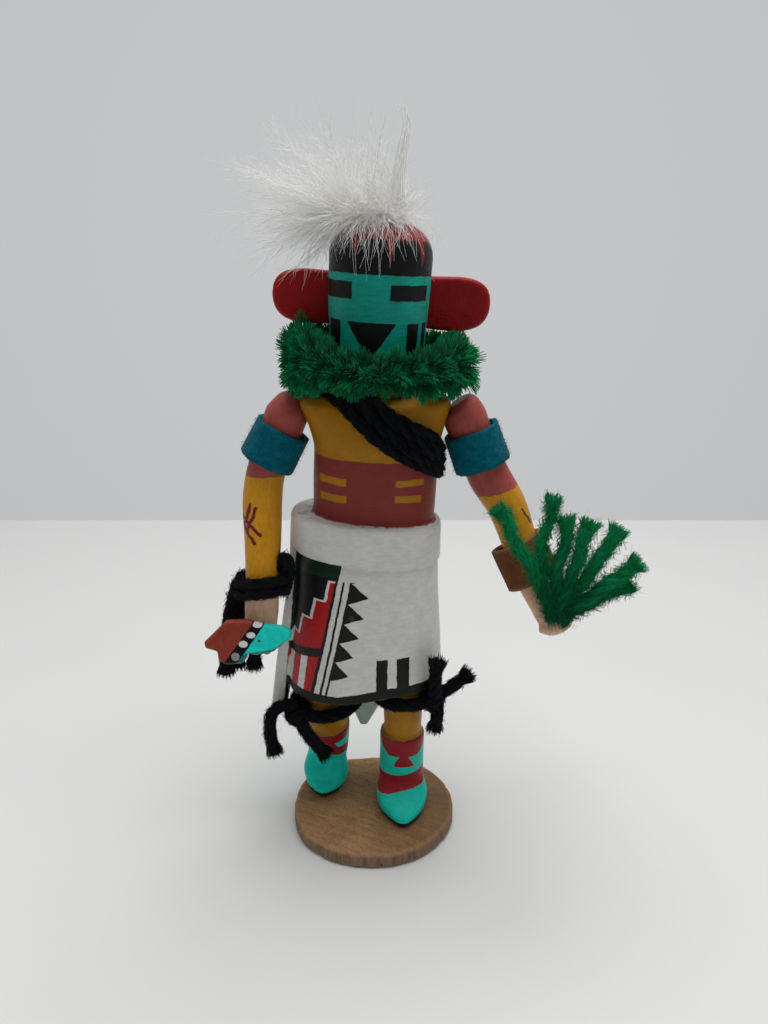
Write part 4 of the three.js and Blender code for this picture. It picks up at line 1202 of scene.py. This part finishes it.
def plume(start, a, deep, long, count, spread):
    axis = Vector((math.cos(a), deep, math.sin(a))).normalized()
    bow = anyWay() * chance.uniform(0.05, 0.3)
    vane = axis.cross(anyWay()).normalized()
    lines = []
    for k in range(count):
        # barbs leave the limp shaft to both sides
        share = 0.85 * chance.random()
        at = start + axis * long * share + bow * long * share * share + anyWay() * 0.35
        way = axis + bow * 2 * share + vane * chance.choice((-1, 1)) * chance.uniform(0.1, 0.9)
        way += anyWay() * spread
        reach = long * (0.62 - 0.42 * share) * chance.uniform(0.5, 1.0)
        lines.append(filament(at, way.normalized(), reach, 0.044, 6, 0.3))
    for k in range(count // 2):  # short fluff near the quill
        at = start + axis * long * chance.uniform(0.05, 0.5) + anyWay() * 0.8
        lines.append(filament(at, (axis * 0.5 + anyWay()).normalized(), chance.uniform(2, 6), 0.034, 4, 0.5))
    shaft = [start + axis * long * i / 6 + bow * long * (i / 6) ** 2 for i in range(7)]
    lines.append([(p, 0.09 * (1 - 0.11 * i)) for i, p in enumerate(shaft)])
    return lines


def tuftLines():
    lines = []
    root = Vector(tuftLook["root"])
    for (low, high), (short, full), count in tuftLook["plumes"]:
        for k in range(count):
            a = math.radians(low + (high - low) * (k + chance.random()) / count)
            spread = Vector((chance.gauss(0, 1.6), chance.gauss(0.5, 2.0), chance.gauss(0, 0.4)))
            start = root + Vector((math.cos(a) * 5 + 2, 0, 0.6)) + spread
            lines += plume(start, a, chance.gauss(0.05, 0.3), chance.uniform(short, full), 26, 0.3)
    turn, long = tuftLook["wisp"]
    for k in range(60):  # one bright bundle stands up and curls over
        spread = anyWay()
        tall = long * (0.3 + 0.7 * chance.random() ** 1.3)
        line = []
        for i in range(8):
            share = i / 7 * tall / long
            lean = Vector((math.cos(math.radians(turn)), 0, math.sin(math.radians(turn))))
            p = root + Vector((7.4, 0, 1.0)) + lean * long * share + spread * (1.7 - 1.1 * share)
            p.x -= 14 * max(0.0, share - 0.82) + 0.6 * math.sin(5 * share)
            line.append((p, 0.06 * (1 - 0.4 * share)))
        lines.append(line)
    for x, y, z in tuftLook["strays"]:
        start = root + Vector((-4, 0, 2))
        reach = Vector((x, y, z)) - start
        for k in range(3):
            begin = start + anyWay() * 2
            long = reach.length * chance.uniform(0.75, 1)
            lines.append(filament(begin, reach.normalized(), long, 0.065, 7, 0.12))
    for k in range(tuftLook["fluff"]):
        # short curls close over the crown, cream at the core
        out = anyWay()
        high = out.z * 2.2 + 2.2 - 0.03 * (out.x * 7.5) ** 2
        start = root + Vector((out.x * 7.5 + 1.2, out.y * 6 - 0.8, high))
        way = Vector((out.x * 0.6 - 0.15, out.y * 0.7 - 0.2, out.z * 0.5 + 0.1)) + anyWay() * 0.7
        way.normalize()
        lines.append(filament(start, way, chance.uniform(1.6, 5.5), 0.06, 4, 0.7))
    for k in range(tuftLook["fringe"]):
        # strands lying down over the brow and round the crown, most at the front left
        a = chance.gauss(math.pi * 1.3, 0.95)
        out = Vector((math.cos(a), math.sin(a), 0))
        start = root + Vector((2.2, 1.2, 1.0)) + out * chance.uniform(1, 7)
        long = 3.5 + 11 * chance.random() ** 1.5
        curl = anyWay() * 5.0 + Vector((-1.0, 0, 0.6))
        aside = Vector((0, 0, 1)).cross(out) * chance.uniform(-2.4, 2.4)
        phase = chance.uniform(0, 3)
        line = []
        for i in range(5):
            share = i / 4
            p = start + out * min(long * share, 8.2 + 1.6 * share) * 0.92
            p.z -= 0.05 * (long * share) ** 2 - 1.2 * share
            p += curl * share * share + aside * math.sin(phase + 2.6 * share) * share
            line.append((p, 0.042 * (1 - 0.6 * share)))
        lines.append(line)
    return lines


def downMaterial():
    f = Finish("whiteDown", rgb(254, 253, 250), 0.0)
    rx, ry, rz = tuftLook["root"]
    offX, offY, offZ = (f.x - rx + 2.0) * 0.16, (f.y - ry) * 0.16, (f.z - rz - 1.0) * 0.3
    near = (offX * offX + offY * offY + offZ * offZ).below(0.8, 0.9)
    f.layer(near * 0.85, rgb(236, 222, 190))
    f.tree.links.new(f.colour, f.shader.inputs["Base Color"])
    f.shader.inputs["Roughness"].default_value = 0.7
    f.shader.inputs["Specular IOR Level"].default_value = 0.3
    f.shader.inputs["Sheen Weight"].default_value = 0.2
    return f.material


finished("featherTuft", tubes(tuftLines()), "feather_tuft", downMaterial())
print("feathers done")

# floor, light and camera
stageLook = {"floor": rgb(222, 222, 220), "backdrop": (0.98, 1.0, 1.01, 1.0), "dim": 0.36, "slope": 0.2}
bm = bmesh.new()
bmesh.ops.create_grid(bm, x_segments=1, y_segments=1, size=1.0)
bmesh.ops.scale(bm, vec=(1.2, 0.7, 1.0), verts=bm.verts)
bmesh.ops.translate(bm, vec=(0.0, 0.231 - 0.7, -0.0002), verts=bm.verts)
floorMesh = bpy.data.meshes.new("floor")
bm.to_mesh(floorMesh)
bm.free()
floor = bpy.data.objects.new("floor", floorMesh)
bpy.context.scene.collection.objects.link(floor)
floorPaint = Finish("floorPaint", stageLook["floor"])
haze = speckle(floorPaint.tree, floorPaint.place, 0.02, 3.0)
floorPaint.layer(haze.above(0.5, 0.4) * 0.2, rgb(212, 212, 212))
floorPaint.tree.links.new(floorPaint.colour, floorPaint.shader.inputs["Base Color"])
floorPaint.shader.inputs["Roughness"].default_value = 0.6
floorMesh.materials.append(floorPaint.material)

world = bpy.data.worlds.new("studio")
bpy.context.scene.world = world
world.use_nodes = True
world.node_tree.nodes["Background"].inputs["Color"].default_value = stageLook["backdrop"]
# more light from behind than from the front
heading = node(world.node_tree, "SeparateXYZ", {0: node(world.node_tree, "TexCoord").outputs["Generated"]})
glow = Term(world.node_tree, heading.outputs[1]).maths("MULTIPLY_ADD", stageLook["slope"], stageLook["dim"])
world.node_tree.links.new(glow.socket, world.node_tree.nodes["Background"].inputs["Strength"])


def softLight(name, place, target, size, power):
    light = bpy.data.lights.new(name, "AREA")
    light.size = size
    light.energy = power
    lamp = bpy.data.objects.new(name, light)
    lamp.location = place
    lamp.rotation_mode = "QUATERNION"
    lamp.rotation_quaternion = (Vector(target) - Vector(place)).to_track_quat("-Z", "Y")
    bpy.context.scene.collection.objects.link(lamp)


softLight("overhead", (0.05, 0.02, 0.66), (0, 0, 0.08), 0.5, 3.5)
softLight("frontFill", (0.3, -0.6, 0.4), (0, 0, 0.09), 0.5, 0.25)
bpy.context.scene.view_settings.view_transform = "Standard"

camera = bpy.data.cameras.new("camera")
camera.sensor_width = 36.0
camera.lens = 740 / 1024 * 36
camera.clip_start = 0.01
eye = bpy.data.objects.new("camera", camera)
eye.location = (0.003, -0.164, 0.1485)
eye.rotation_euler = (math.radians(70), 0, 0)
bpy.context.scene.collection.objects.link(eye)
bpy.context.scene.camera = eye

bpy.data.objects.remove(threeSided)
print("scene done")
